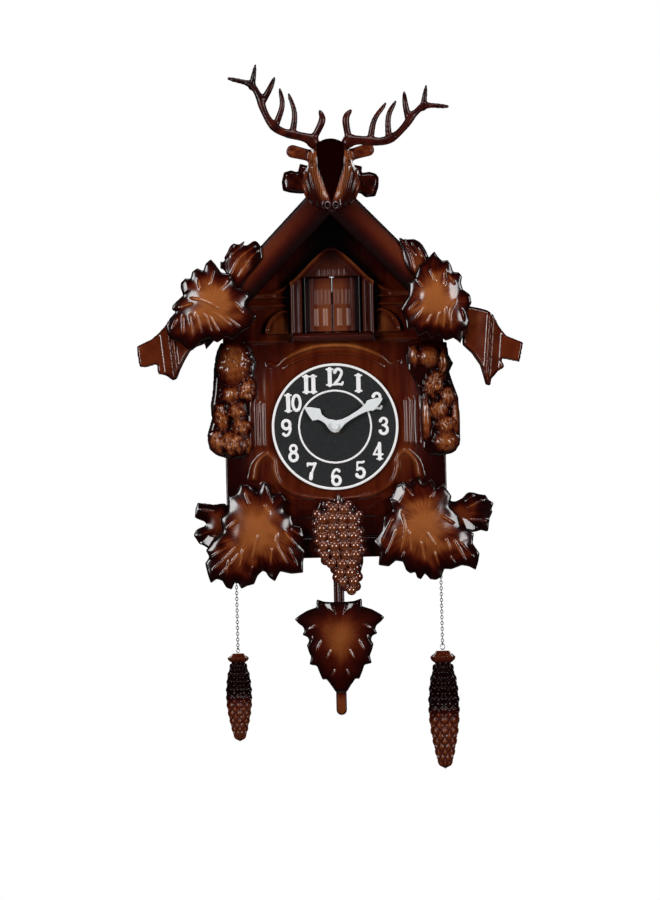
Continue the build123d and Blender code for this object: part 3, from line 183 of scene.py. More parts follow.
def surface_net(field, origin, step):
    """Closed quad mesh where a sampled field crosses zero, in the field's own axes; inside is negative."""
    inside = field < 0
    nx, ny, nz = field.shape
    count = sum(
        inside[i:nx - 1 + i, j:ny - 1 + j, k:nz - 1 + k].astype(np.int8)
        for i in (0, 1) for j in (0, 1) for k in (0, 1)
    )
    cells = np.argwhere((count > 0) & (count < 8))
    index = np.full(count.shape, -1, np.int64)
    index[tuple(cells.T)] = np.arange(len(cells))
    total = np.zeros((len(cells), 3))
    hits = np.zeros(len(cells))
    faces = []
    for axis in range(3):
        b, c = (axis + 1) % 3, (axis + 2) % 3
        unit = np.eye(3, dtype=int)
        for along_b in (0, 1):
            for along_c in (0, 1):
                start = unit[b] * along_b + unit[c] * along_c
                first = field[tuple((cells + start).T)]
                last = field[tuple((cells + start + unit[axis]).T)]
                cross = (first < 0) != (last < 0)
                t = first[cross] / (first[cross] - last[cross])
                total[cross] += start + t[:, None] * unit[axis]
                hits[cross] += 1
        low = np.moveaxis(field, axis, 0)[:-1]
        high = np.moveaxis(field, axis, 0)[1:]
        edge = np.argwhere(np.moveaxis((low < 0) != (high < 0), 0, axis))
        edge = edge[(edge[:, b] > 0) & (edge[:, c] > 0)]
        edge = edge[(edge[:, b] < count.shape[b]) & (edge[:, c] < count.shape[c])]
        flip = field[tuple(edge.T)] < 0
        quad = np.stack([
            index[tuple(edge.T)], index[tuple((edge - unit[b]).T)],
            index[tuple((edge - unit[b] - unit[c]).T)], index[tuple((edge - unit[c]).T)],
        ], 1)
        quad[~flip] = quad[~flip][:, ::-1]
        faces.append(quad)
    verts = np.array(origin) + step * (cells + total / hits[:, None])
    return verts, np.vstack(faces)[:, ::-1]


def swept_quads(rings, around, closed=False, start=0):
    """Quads between rings of points, each ring closed on itself; closed joins the last ring to the first."""
    quads = []
    for i in range(rings if closed else rings - 1):
        here, there = start + i * around, start + (i + 1) % rings * around
        for j in range(around):
            beside = (j + 1) % around
            quads.append((here + j, there + j, there + beside, here + beside))
    return quads


def add_mesh(name, verts, faces, material, body="clock", stands_for=(), tone=None):
    """A piece from points in millimetres (x, depth, z), riding on its body."""
    verts = np.asarray(verts, float)
    world = np.stack([verts[:, 0], -verts[:, 1], verts[:, 2]], 1) * MM
    mesh = bpy.data.meshes.new(name)
    mesh.from_pydata(world.tolist(), [], [list(map(int, f)) for f in faces])
    mesh.validate()
    if tone is not None:
        layer = mesh.attributes.new("tone", "FLOAT", "POINT")
        layer.data.foreach_set("value", np.clip(tone, -1, 1).astype(np.float32))
    mesh.polygons.foreach_set("use_smooth", [True] * len(mesh.polygons))
    mesh.materials.append(material)
    piece = bpy.data.objects.new(name, mesh)
    bpy.context.collection.objects.link(piece)
    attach(piece, body)
    if stands_for:
        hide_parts(*stands_for)
    return piece


def sample_axes(low, high, step):
    return [np.arange(a, b + step, step) for a, b in zip(low, high)]


def sample_window(axes, low, high, step):
    """The samples between two corners: where they lie in the field, and their coordinates."""
    window = tuple(
        slice(max(int((a - axis[0]) / step), 0), int((b - axis[0]) / step) + 1)
        for a, b, axis in zip(low, high, axes)
    )
    return window, np.meshgrid(*[axis[w] for axis, w in zip(axes, window)], indexing="ij")


def solid_from(node, low, high, step, field_at, material, body, tone_at):
    """Meshes a distance field given as a function of (x, depth, z) in a box, in place of a CAD node."""
    x, d, z = np.meshgrid(*sample_axes(low, high, step), indexing="ij")
    verts, faces = surface_net(field_at(x, d, z), low, step)
    add_mesh(node + "_carved", verts, faces, material, body, [node], tone_at(*verts.T))


def plaque(node, outline, back, top_at, material, body="clock", tone_at=None, step=0.9, soft=1.0, rounding=1,
           cut=None, made="_carved"):
    """A carved board in place of a CAD node: an outline with a flat back, its front a depth over (x, z)."""
    points = np.array(outline, float)
    low, high = points.min(0) - 3 * step, points.max(0) + 3 * step
    xs, zs = sample_axes(low, high, step)
    x, z = np.meshgrid(xs, zs, indexing="ij")
    edge = outline_distance(x, z, list(outline))
    if cut is not None:
        edge = np.maximum(edge, cut(x, z))
    if rounding:
        edge = blur(edge, rounding)
    top = top_at(x, z, -edge)
    ds = np.arange(back - 2 * step, np.max(top[edge < step]) + 3 * step, step)
    face = ds[None, :, None] - top[:, None, :]
    rear = back - ds[None, :, None]
    field = smax(np.maximum(edge[:, None, :], rear), face, soft)
    verts, faces = surface_net(field, (low[0], ds[0], low[1]), step)
    tone = None
    if tone_at:
        vx, vd, vz = verts.T
        i = np.clip(((vx - low[0]) / step).round().astype(int), 0, len(xs) - 1)
        k = np.clip(((vz - low[1]) / step).round().astype(int), 0, len(zs) - 1)
        tone = tone_at(vx, vz, -edge[i, k], vd)
    add_mesh(node + made, verts, faces, material, body, [node], tone)


# ---- materials
def node_material(name):
    material = bpy.data.materials.new(name)
    material.use_nodes = True
    tree = material.node_tree
    shader = tree.nodes["Principled BSDF"]
    return material, tree, shader


def add_node(tree, kind, **values):
    """A shader node with some of its sockets set."""
    node = tree.nodes.new("ShaderNode" + kind)
    for socket, value in values.items():
        node.inputs[socket.replace("_", " ")].default_value = value
    return node


def ramp(tree, stops):
    node = add_node(tree, "ValToRGB")
    elements = node.color_ramp.elements
    while len(elements) < len(stops):
        elements.new(0.5)
    for element, (at, colour) in zip(elements, stops):
        element.position = at
        element.color = (*colour, 1)
    return node


def noise(tree, scale, detail, rough=0.6, stretch=(1, 1, 1)):
    place = add_node(tree, "TexCoord")
    mapping = add_node(tree, "Mapping", Scale=stretch)
    tree.links.new(place.outputs["Object"], mapping.inputs["Vector"])
    node = add_node(tree, "TexNoise", Scale=scale, Detail=detail, Roughness=rough)
    tree.links.new(mapping.outputs["Vector"], node.inputs["Vector"])
    return node.outputs["Fac"]


def maths(tree, kind, a, b):
    node = add_node(tree, "Math")
    node.operation = kind
    for socket, value in zip(node.inputs, (a, b)):
        if hasattr(value, "links"):
            tree.links.new(value, socket)
        else:
            socket.default_value = value
    return node.outputs[0]


def bump(tree, shader, height, strength):
    node = add_node(tree, "Bump", Strength=strength, Distance=0.0003)
    tree.links.new(height, node.inputs["Height"])
    tree.links.new(node.outputs["Normal"], shader.inputs["Normal"])


def spread(tree, value, least, most, socket):
    """Feeds a socket with a 0 to 1 value rescaled between least and most."""
    node = add_node(tree, "MapRange", To_Min=least, To_Max=most)
    tree.links.new(value, node.inputs["Value"])
    tree.links.new(node.outputs["Result"], socket)
    return node


BROWN_STOPS = [
    (0.0, (0.006, 0.0002, 0.0001)), (0.22, (0.020, 0.0008, 0.0002)), (0.42, (0.055, 0.0050, 0.0012)),
    (0.60, (0.11, 0.018, 0.0045)), (0.80, (0.195, 0.048, 0.011)), (1.0, (0.31, 0.092, 0.023)),
]


def brown_plastic(name, base=None, swing=0.22, grain=(1, 1, 1), grain_scale=90, rough=(0.10, 0.22), coat=0.0,
                  shine_most=0.5, ripple_most=0.06):
    """Glossy plastic sprayed from near-black edges to an orange middle; base stands in for a missing tone."""
    material, tree, shader = node_material(name)
    if base is None:
        source = add_node(tree, "Attribute")
        source.attribute_name = "tone"
        level = source.outputs["Fac"]
        # recesses (tone below 0) lose the lacquer's shine
        shine = spread(tree, level, 0.0, shine_most, shader.inputs["Specular IOR Level"])
        shine.inputs["From Min"].default_value = -0.3
        shine.inputs["From Max"].default_value = 0.0
    else:
        level = maths(tree, "ADD", maths(tree, "MULTIPLY", noise(tree, 22, 3, 0.5), 0.3), base - 0.15)
    streak = noise(tree, grain_scale, 5, stretch=grain)
    shift = maths(tree, "MULTIPLY", maths(tree, "SUBTRACT", streak, 0.5), swing)
    colours = ramp(tree, BROWN_STOPS)
    tree.links.new(maths(tree, "ADD", level, shift), colours.inputs["Fac"])
    tree.links.new(colours.outputs["Color"], shader.inputs["Base Color"])
    spread(tree, noise(tree, 160, 3), *rough, shader.inputs["Roughness"])
    shader.inputs["Coat Weight"].default_value = coat
    shader.inputs["Coat Roughness"].default_value = 0.05
    bump(tree, shader, noise(tree, 420, 4, stretch=grain), ripple_most)
    return material


def plain_material(name, dark, light, scale, rough, metallic=0.0, grain=(1, 1, 1), coat=0.0, relief=0.15):
    """Two close colours mottled together, with matching roughness and a fine surface."""
    material, tree, shader = node_material(name)
    mottle = noise(tree, scale, 5, stretch=grain)
    colours = ramp(tree, [(0.3, dark), (0.7, light)])
    tree.links.new(mottle, colours.inputs["Fac"])
    tree.links.new(colours.outputs["Color"], shader.inputs["Base Color"])
    spread(tree, mottle, *rough, shader.inputs["Roughness"])
    shader.inputs["Metallic"].default_value = metallic
    shader.inputs["Coat Weight"].default_value = coat
    bump(tree, shader, noise(tree, 900, 3, stretch=grain), relief)
    return material


UPRIGHT = (3, 3, 0.35)  # grain drawn out along z
CARVED = brown_plastic("carved_brown")
CARVED_UP = brown_plastic("carved_brown_upright", grain=UPRIGHT, grain_scale=60, swing=0.3)
CASE_BROWN = brown_plastic("case_brown", base=0.40, grain=(2, 0.5, 0.3), grain_scale=60)
CONE_BROWN = brown_plastic("cone_brown", swing=0.14, rough=(0.14, 0.34), shine_most=0.28)
ANTLER_BROWN = brown_plastic("antler_brown", rough=(0.22, 0.36), shine_most=0.3)
GRAPE_BROWN = brown_plastic("grape_brown", swing=0.12, rough=(0.06, 0.10), coat=0.4, shine_most=0.9,
                            ripple_most=0.01)
DOOR_BROWN = brown_plastic("door_brown", grain=UPRIGHT, grain_scale=60, swing=0.26, rough=(0.30, 0.42),
                           shine_most=0.34)
STAG_BROWN = brown_plastic("stag_brown", rough=(0.20, 0.32), shine_most=0.36)
BLACK = plain_material("black_moulding", (0.012, 0.011, 0.011), (0.022, 0.02, 0.02), 140, (0.38, 0.55))
DIAL_BLACK = plain_material("dial_black", (0.006, 0.007, 0.008), (0.02, 0.021, 0.022), 900, (0.3, 0.5),
                            relief=0.5)
WHITE = plain_material("dial_white", (0.88, 0.86, 0.86), (0.96, 0.95, 0.95), 240, (0.35, 0.5), relief=0.1)
HAND = plain_material("hand_paint", (0.70, 0.73, 0.74), (0.84, 0.86, 0.87), 700, (0.3, 0.45), relief=0.4)
STEEL = plain_material("plated_steel", (0.42, 0.42, 0.44), (0.62, 0.62, 0.64), 300, (0.2, 0.38), 1.0)
NICKEL = plain_material("dull_nickel", (0.09, 0.085, 0.08), (0.22, 0.21, 0.20), 500, (0.25, 0.4), 1.0)
BRASS = plain_material("turned_brass", (0.55, 0.36, 0.12), (0.72, 0.5, 0.2), 260, (0.2, 0.35), 1.0)
COPPER = plain_material("coil_copper", (0.45, 0.16, 0.07), (0.6, 0.26, 0.12), 500, (0.3, 0.45), 1.0,
                        grain=(1, 12, 1))
ACETAL = plain_material("natural_acetal", (0.66, 0.65, 0.6), (0.78, 0.77, 0.72), 200, (0.35, 0.5))
GREEN = plain_material("board_green", (0.004, 0.07, 0.025), (0.008, 0.11, 0.04), 300, (0.3, 0.5), coat=0.4)
CELL = plain_material("cell_jacket", (0.02, 0.02, 0.025), (0.045, 0.045, 0.05), 200, (0.2, 0.35), 0.6)
CONE_PAPER = plain_material("speaker_paper", (0.02, 0.018, 0.016), (0.05, 0.045, 0.04), 400, (0.7, 0.9),
                            relief=0.6)
BEAK = plain_material("beak_orange", (0.65, 0.2, 0.02), (0.8, 0.3, 0.05), 400, (0.25, 0.4), coat=0.6)

CAD_MATERIALS = {
    CASE_BROWN: ["case_body"],
    BLACK: ["door_pins", "back_cover", "battery_door", "chime_switch", "movement_case", "movement_cover",
            "set_knob", "bird_motor"],
    DIAL_BLACK: ["dial_plate"],
    HAND: ["hour_hand", "minute_hand", "hand_nut"],
    STEEL: ["chain_left", "chain_right", "chain_pins", "back_screws", "battery_contacts", "pendulum_hanger"],
    BRASS: ["movement_nut"],
    COPPER: ["drive_coil"],
    ACETAL: ["hour_wheel", "minute_arbor", "motion_wheel", "bird_pinion", "bird_rack", "bird_guide"],
    GREEN: ["circuit_board"],
    CELL: ["battery_cells"],
    CONE_PAPER: ["speaker"],
    BEAK: ["bird_beak"],
}
for material, nodes in CAD_MATERIALS.items():
    for node in nodes:
        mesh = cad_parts[node].data
        mesh.materials.clear()
        mesh.materials.append(material)
        mesh.polygons.foreach_set("material_index", [0] * len(mesh.polygons))


# ---- carved leaves
def star(x, z, centre, inside):
    """0 at the leaf's centre and 1 at its edge, with the angle about the centre."""
    dx, dz = x - centre[0], z - centre[1]
    away = np.hypot(dx, dz)
    return away / (away + np.maximum(inside, 0) + 1e-6), np.arctan2(dz, dx)


def vein_height(x, z, veins):
    """Thin raised strokes along given lines, 1 on the crest, fading at the ends."""
    total = np.zeros(np.shape(x))
    for vein in veins:
        line = curve_through(vein, 4) if len(vein) > 2 else vein
        (ax, az), (bx, bz) = vein[0], vein[-1]
        length = math.hypot(bx - ax, bz - az)
        along = ((x - ax) * (bx - ax) + (z - az) * (bz - az)) / length
        taper = band(along, -1, 4, length - 4, length + 1)
        total = np.maximum(total, taper * ridge(line_distance(x, z, line), 0.95))
    return total


def leaf(name, outline, centre, back, crown, veins, seed, curl=1.1, bright=0.98, edge_thick=3.0, gleams=()):
    """A lobed leaf that rises to its centre, with thin raised veins and puffed lobes."""
    def top_at(x, z, inside):
        ratio, _ = star(x, z, centre, inside)
        rise = crown * (1 - blur(ratio, 16) ** 1.35)
        lobe = curl * smooth(0.35, 0.9, ratio) * waves(x, z, 34, seed)
        high = edge_thick + rise + lobe + 1.2 * vein_height(x, z, veins)
        # lobes turned outward into flat shining faces
        for gleam in gleams:
            corners = np.array(gleam)
            lean, fall, thinnest = math.copysign(0.38, corners[:, 0].mean() - centre[0]), 0.15, 1.2
            lowest = np.min(-lean * corners[:, 0] - fall * corners[:, 1])
            face = np.clip(thinnest - lean * x - fall * z - lowest, thinnest, edge_thick + crown)
            high = high + (1 - smooth(-1.4, 0.6, outline_distance(x, z, gleam))) * (face - high)
        return back + high

    def tone_at(x, z, inside, depth):
        ratio, turn = star(x, z, centre, inside)
        fade = smooth(0.25, 1.05, ratio + 0.10 * waves(x, z, 18, seed + 5))
        fibre = 0.08 * waves(turn * 60, ratio * 14, 9, seed + 2) * smooth(0.1, 0.4, ratio)
        # the raised veins are also painted lighter: a painted highlight along their crests
        level = bright - 0.80 * fade + fibre + 0.40 * vein_height(x, z, veins)
        rim = 6.5 + 6.5 * smooth(centre[1] - 12, centre[1] - 36, z)
        return level * smooth(0.8, rim, inside) * smooth(back - 0.5, back + 2.5, depth)

    plaque(name, outline, back, top_at, CARVED, tone_at=tone_at, step=0.6, soft=1.8)


UPPER_FRONT_LEFT = [
    (-105.4, 20.8), (-110.4, 26.8), (-115.7, 22), (-117.8, 15.9), (-122.9, 18.6), (-128.1, 15.1), (-129.8, 9),
    (-134.4, 9.4), (-139, 5.2), (-138.9, 0), (-136.9, -6.3), (-142, -10.7), (-146.7, -15.2), (-147.4, -19.8),
    (-144.1, -21.4), (-149.6, -27.3), (-153.3, -33.4), (-152, -42), (-148, -48), (-140, -50), (-134, -57),
    (-128.6, -57.4), (-122, -50), (-114, -47), (-106, -51), (-98, -46), (-92, -49), (-84, -42), (-76, -38),
    (-68.5, -27), (-74, -21), (-79, -16), (-75, -9), (-78, -4), (-88, 1), (-92, 12), (-101, 14),
]
UPPER_FRONT_RIGHT = [
    (94.8, 29.4), (99, 23), (101.9, 20), (107, 20.5), (110, 16), (112, 9.6), (117, 9), (120, 5.3),
    (119, -1), (120.6, -7), (127, -12), (128.1, -19.3), (124, -28), (126, -36), (124, -42), (118, -46),
    (116, -56), (110, -52), (104, -56), (97, -49), (90, -52), (86, -46), (78, -50), (74, -42), (67.5, -44),
    (66, -34), (62, -24), (66, -17), (70, -10), (70, 0), (76, 6), (80, 16), (86, 20),
]
LOWER_FRONT_LEFT = [
    (-122, -241), (-119, -247), (-123, -253), (-121, -262), (-118, -272), (-112, -268), (-107.4, -269.6),
    (-104, -276), (-98.4, -278.6), (-95, -272), (-92.7, -273.6), (-90, -278), (-84, -275), (-77.6, -273.5),
    (-74, -266), (-69.5, -262), (-64, -268), (-58.6, -271.6), (-55, -265), (-53.4, -262.4), (-43, -265),
    (-32.2, -264), (-32, -254), (-29.5, -244), (-34, -238), (-30, -230), (-32.6, -221), (-40, -219),
    (-41.6, -211), (-48, -206), (-46, -194), (-52, -188), (-58, -192), (-61, -181), (-67, -178), (-73, -188),
    (-80, -181), (-88.7, -180.7), (-92, -188), (-100, -192), (-101, -204), (-108, -212), (-106, -224),
    (-116, -232),
]
LOWER_FRONT_RIGHT = [
    (36.4, -258.8), (46.5, -260.3), (53, -255), (59.1, -256), (62, -264), (66, -267), (70.3, -265.9),
    (72, -271), (75.7, -273), (79.5, -267.5), (84, -273), (89.5, -273.7), (95, -271), (98, -264),
    (103.5, -264.4), (113.7, -260.6), (120, -262), (126.5, -265.9), (129, -258), (130.5, -249.4),
    (124.5, -240), (126, -231), (114, -224), (112, -214), (104, -206), (106, -196), (98, -184), (92, -188),
    (88, -179), (80, -184), (75, -176), (68, -184), (60, -181), (54, -186), (48, -198), (50, -208),
    (42, -214), (40, -226), (32, -236), (38, -246),
]
VEINS_UPPER_LEFT = [
    [(-131, -9), (-118, -12), (-104, -19)], [(-110, -22), (-102, -28), (-92, -36)],
    [(-117, -23), (-110.5, -43)], [(-125, -22), (-119.5, -45)], [(-131, -23), (-128, -46)],
    [(-137, -24), (-137, -44)], [(-104, -4), (-93, 7)], [(-112, 2), (-108, 17)], [(-121, -2), (-122, 9)],
    [(-142, -26), (-147, -38)], [(-99, -26), (-84, -38)], [(-90, -14), (-82, -24)],
    [(-113, -25), (-104, -42)], [(-128, -14), (-141, -18)],
]
VEINS_UPPER_RIGHT = [
    [(113.5, -16), (107.6, -28), (108.6, -44)], [(105.8, 9), (113.5, -3)], [(92, -28), (86, -38)],
    [(99, -26), (94, -40)], [(86, -22), (76, -34)], [(104, -22), (101, -44)], [(96, 0), (90, 13)],
    [(84, -4), (78, 4)], [(118, -24), (121, -36)], [(80, -16), (70, -26)], [(103, -4), (104, 12)],
]
VEINS_LOWER_LEFT = [
    [(-72.4, -227), (-79.3, -250)], [(-55.5, -226), (-56.3, -238), (-46.3, -257)],
    [(-60.5, -239), (-62.6, -257)], [(-87.2, -240), (-91, -258)], [(-101, -238), (-119, -249)],
    [(-93, -239), (-116, -260)], [(-90, -244), (-110, -266)], [(-67.5, -199), (-62, -209)],
    [(-64, -182), (-59.7, -200)], [(-49, -194), (-43, -212)], [(-100, -250), (-104, -268)],
    [(-78, -255), (-82, -268)], [(-70, -252), (-70, -262)], [(-50, -224), (-38, -240)],
    [(-46, -240), (-38, -258)], [(-80, -200), (-84, -188)], [(-44, -222), (-34, -230)],
    [(-92, -214), (-102, -222)],
]
VEINS_LOWER_RIGHT = [
    [(59.3, -208), (62.4, -227), (57.4, -247)], [(66, -226), (67.6, -248)], [(81, -228), (90, -242)],
    [(99, -234), (104, -248)], [(112, -238), (125, -254)], [(106, -236), (118, -258)],
    [(76, -236), (80, -256)], [(88, -246), (94, -262)], [(55, -226), (44, -250)], [(96, -214), (108, -222)],
    [(70, -196), (62, -184)], [(86, -198), (92, -186)], [(52, -214), (40, -238)], [(102, -250), (108, -260)],
    [(62, -246), (58, -256)],
]
FRONT_LEAVES = [
    ("upper_leaf_front_left", UPPER_FRONT_LEFT, (-108, -14), LEAF_BACK, 7.5, VEINS_UPPER_LEFT, [
        [(-140, 7), (-133, 10), (-130.5, -2), (-136.5, -6)],
    ]),
    ("upper_leaf_front_right", UPPER_FRONT_RIGHT, (94, -14), LEAF_BACK, 7.0, VEINS_UPPER_RIGHT, []),
    ("lower_leaf_front_left", LOWER_FRONT_LEFT, (-73, -222), 97.4, 7.8, VEINS_LOWER_LEFT, []),
    ("lower_leaf_front_right", LOWER_FRONT_RIGHT, (80, -222), 97.4, 7.8, VEINS_LOWER_RIGHT, [
        [(48.9, -198.7), (52.7, -187.3), (60.8, -184.1), (62.9, -192.1), (57, -201.2)],
    ]),
]
for seed, (name, outline, centre, back, crown, veins, gleams) in enumerate(FRONT_LEAVES, 3):
    leaf(name, outline, centre, back, crown, veins, seed, gleams=gleams)

UPPER_BACK_LEFT = [
    (-63, 37), (-66, 43), (-73, 48), (-79, 45.5), (-84, 47), (-90, 42), (-95, 39), (-99, 31), (-103, 25),
    (-102, 12), (-98, -4), (-88, -10), (-74, 10), (-62, 26),
]
UPPER_BACK_RIGHT = [
    (59, 38), (62, 48.5), (70, 44), (76, 41.5), (82, 38), (86, 34), (88, 29), (90, 24), (98, 8), (86, -8),
    (74, 4), (64, 20),
]
LOWER_BACK_LEFT = [
    (-128.7, -196.4), (-131, -203), (-131.8, -211), (-122.2, -216.8), (-130, -220), (-135.8, -226),
    (-131, -231), (-127.8, -237.8), (-112, -244), (-96, -226), (-100, -196), (-114, -198),
]
LOWER_BACK_RIGHT = [
    (102, -194.4), (108, -199), (115.2, -197.5), (121, -192), (128.2, -191.4), (133, -194), (137.4, -194.3),
    (140, -200), (145.4, -203.3), (143, -209), (145.7, -213.9), (143, -223), (140.2, -231.7), (132, -229),
    (124.5, -231.3), (104, -238), (92, -216),
]
BACK_LEAVES = [
    ("upper_leaf_back_left", UPPER_BACK_LEFT, (-80, 16), 140.2, 3, 0.8, 0.66, [
        [(-68, 38), (-84, 26), (-95, 4)], [(-78, 43), (-92, 28)], [(-74, 26), (-86, 8)],
        [(-88, 40), (-98, 26)], [(-66, 34), (-78, 22)],
    ], []),
    ("upper_leaf_back_right", UPPER_BACK_RIGHT, (80, 14), 140.2, 3, 0.8, 0.66, [
        [(63, 42), (72, 28), (77, 8)], [(74, 38), (84, 22)], [(80, 34), (90, 14)], [(68, 40), (78, 24)],
    ], []),
    ("lower_leaf_back_left", LOWER_BACK_LEFT, (-106, -216), 91.2, 4, 0.5, 0.6, [
        [(-112, -206), (-128, -203)], [(-114, -222), (-130, -228)],
    ], [[(-127, -234), (-119, -227), (-111, -228), (-112, -236), (-118, -240)]]),
    ("lower_leaf_back_right", LOWER_BACK_RIGHT, (110, -214), 91.2, 4, 0.5, 0.6, [
        [(118, -208), (136, -200)], [(120, -218), (140, -220)], [(118, -202), (127, -195)],
    ], [[(113, -216), (120, -217), (129, -225), (125, -229.5), (117, -228)]]),
]
for seed, (name, outline, centre, back, crown, curl, bright, veins, gleams) in enumerate(BACK_LEAVES, 7):
    leaf(name, outline, centre, back, crown, veins, seed, curl, bright, 1.5, gleams)

# ---- front panel
ARCH = curve_through([(0, -55), (16, -56), (32, -60.5), (45, -67), (52, -73), (59, -71)], 6)
CURL = curve_through([(76, -176), (73, -163), (64, -154), (57, -160), (56, -171), (50, -183), (32, -193),
                      (0, -197)])
LIP = [(0, -207), (30, -204), (52, -194), (68, -182)]
SWEEP = [(40, 2), (46, -3), (56, -7), (70, -8), (84, -14)]
UNDER_ROOF = 6.06  # the roof board's thickness measured straight down, and a hair
HOUSE_PEAK = RIDGE_Z - UNDER_ROOF
HOUSE_EAVE = HOUSE_PEAK - CASE_HALF * PITCH
HOUSE = [(-CASE_HALF, CASE_BOTTOM), (CASE_HALF, CASE_BOTTOM), (CASE_HALF, HOUSE_EAVE), (0, HOUSE_PEAK),
         (-CASE_HALF, HOUSE_EAVE)]


def panel_relief(x, z):
    """Height of the front panel's mouldings over its flat face."""
    ax = np.abs(x)
    radius = np.hypot(x, z - DIAL_Z)
    # broad bowl that the dial sits in, falling away outward
    high = 6.0 * (1 - smooth(60, 102, radius))
    # arch moulding with a groove and a second band inside it
    fade = 1 - smooth(40, 58, ax)
    high = np.maximum(high, (5.0 + 3.5 * fade) * ridge(line_distance(ax, z, ARCH), 3.6))
    high = np.maximum(high, 7.5 * fade * ridge(line_distance(ax, z + 7.5, ARCH), 2.6))
    # upright fluted strips beside the dial, each with a bead outside it
    flute_pitch = 7.0
    flute = 1.3 * np.cos((ax - 66) * 2 * math.pi / flute_pitch)
    high = np.maximum(high, band(ax, 59, 61, 72, 74) * band(z, -153, -146, -108, -98) * (6.0 + flute))
    high = np.maximum(high, 4.0 * ridge(ax - 77.5, 1.6) * band(z, -156, -146, -106, -96))
    # scroll at each lower corner of the dial, the lip under it, and the swept brackets that carry the niche
    for line, rise, width in ((CURL, 8.0, 3.6), (LIP, 4.0, 2.6), (SWEEP, 4.5, 2.2)):
        high = np.maximum(high, rise * ridge(line_distance(ax, z, line), width))
    # quarter-round panels beside the niche
    quarter = np.hypot(ax - 41, z + 43.5)
    inside = (ax > 40) & (z > -43.5)
    arch = ridge(quarter - 21, 1.6) + ridge(ax - 41.5, 1.4) * (quarter < 21)
    arch = arch + ridge(z + 43, 1.4) * (quarter < 22)
    raised = np.maximum(4.5 * np.clip(arch, 0, 1), 2.2 * (1 - smooth(15, 20, quarter)))
    high = np.maximum(high, np.where(inside, raised, 0))
    # rails
    for level, width in ((-17.5, 1.8), (-10, 1.4), (-50, 2.4)):
        high = np.maximum(high, 3.4 * ridge(z - level, width) * band(ax, 38, 41, 76, 84))
    # joints between the boards below the dial
    for level in (-214, -232):
        high = high - 1.2 * ridge(z - level, 0.9) * (ax < 60)
    return high


def panel_top(x, z, inside):
    return PANEL + panel_relief(x, z) + 0.08 * waves(x * 3, z * 0.4, 16, 3)


def panel_tone(x, z, inside, depth):
    ax = np.abs(x)
    high = depth - PANEL
    level = 0.32 + 0.03 * high + 0.05 * waves(x * 2, z * 0.5, 30, 8)
    level = level + 0.12 * smooth(-56, -46, z) * (1 - smooth(66, 86, ax))
    arch = ridge(line_distance(ax, z, ARCH), 3.4) * (1 - smooth(22, 56, ax))
    curl = ridge(line_distance(ax, z, CURL), 4.0) * smooth(-190, -170, z)
    quarter = ridge(np.hypot(ax - 46, z + 36), 12)
    level = level + 0.36 * arch + 0.22 * curl + 0.22 * quarter
    level = level * (0.35 + 0.65 * (1 - smooth(70, 96, ax)))
    level = np.where(z > -196, level, level * 0.75)
    # painted shade: the panel above the gable, under the roof, gets a flat darker tone standing for the
    # roof's shadow
    under_roof_shade = smooth(2, 16, z) * smooth(0, 8, z - 33 + ax * 0.9)
    level = level * (1 - under_roof_shade) + 0.22 * under_roof_shade
    return level * smooth(-4, 0.5, high)


def panel_holes(x, z):
    """Inside the doorway and the bore for the hands' arbor."""
    doorway = np.maximum(np.abs(x) - 28.2, np.abs(z - NICHE_MID) - 26.25)
    return np.maximum(-doorway, 4.2 - np.hypot(x, z - DIAL_Z))


plaque("front_panel", HOUSE, PANEL_BACK, panel_top, CARVED_UP, tone_at=panel_tone, step=0.85, soft=0.4,
       rounding=0, cut=panel_holes)


# ---- roof
def roof_side(side):
    """Roof board and rounded bargeboard, swept down one slope and mitred at the ridge."""
    deep = 40 / SLOPE
    board_end, barge_end, barge_back = 138.0, 118.0, 131.5
    # cross-section: depth towards the viewer, and distance below the top surface, square to the slope
    bulge = []
    for degrees in np.linspace(4, 172, 19):
        t = math.radians(degrees)
        bulge.append((132.5 + 7.5 * math.sin(t) ** 0.25, deep / 2 - deep / 2 * math.cos(t)))
    section = [(4.0, 0.0), (30.0, 0.0), (60.0, 0.0), (90.0, 0.0), (118.0, 0.0), (131.0, 0.4)] + bulge
    section += [(131.9, deep - 0.6), (131.9, 5.5), (128.0, 4.2), (90.0, 4.0), (60.0, 4.0), (30.0, 4.0)]
    section += [(4.0, 4.0)]
    stations = np.linspace(0, 1, 60)
    verts = []
    for share in stations:
        for depth, below in section:
            end = board_end if depth < barge_back else barge_end + 1.2 * math.sin(below * 0.4)
            x = share * end
            verts.append((side * max(x, 0.05), depth, RIDGE_Z - x * PITCH - below * SLOPE))
    count = len(section)
    quads = swept_quads(len(stations), count)
    faces = [(a, d, c, b) if side > 0 else (b, c, d, a) for a, b, c, d in quads]
    first = list(range(count))
    last = [len(verts) - count + j for j in range(count)]
    faces += [first[::-1] if side > 0 else first, last if side > 0 else last[::-1]]
    verts = np.array(verts)
    out = np.abs(verts[:, 0])
    below = (RIDGE_Z - out * PITCH - verts[:, 2]) / SLOPE
    # painted shade: the bargeboard fades to black toward its lower edge, where it turns under, and the board
    # behind it, seen from below as the roof's underside, gets a flat dark tone
    level = 0.56 * smooth(0.5, 4.5, below) * (1 - 0.98 * smooth(9, 26, below))
    level = level - 0.2 * smooth(20, 27, below)
    level = np.where(verts[:, 1] < barge_back, 0.12, level)
    level = level * (0.75 + 0.25 * smooth(10, 60, out))
    word = SIDES[side]
    brown = brown_plastic("roof_brown_" + word, grain=(1.4, 1.4, 1.4), grain_scale=36, swing=0.10,
                          rough=(0.2, 0.3))
    add_mesh(f"roof_{word}_board", verts, faces, brown, stands_for=["roof_" + word], tone=level)


for side in SIDES:
    roof_side(side)

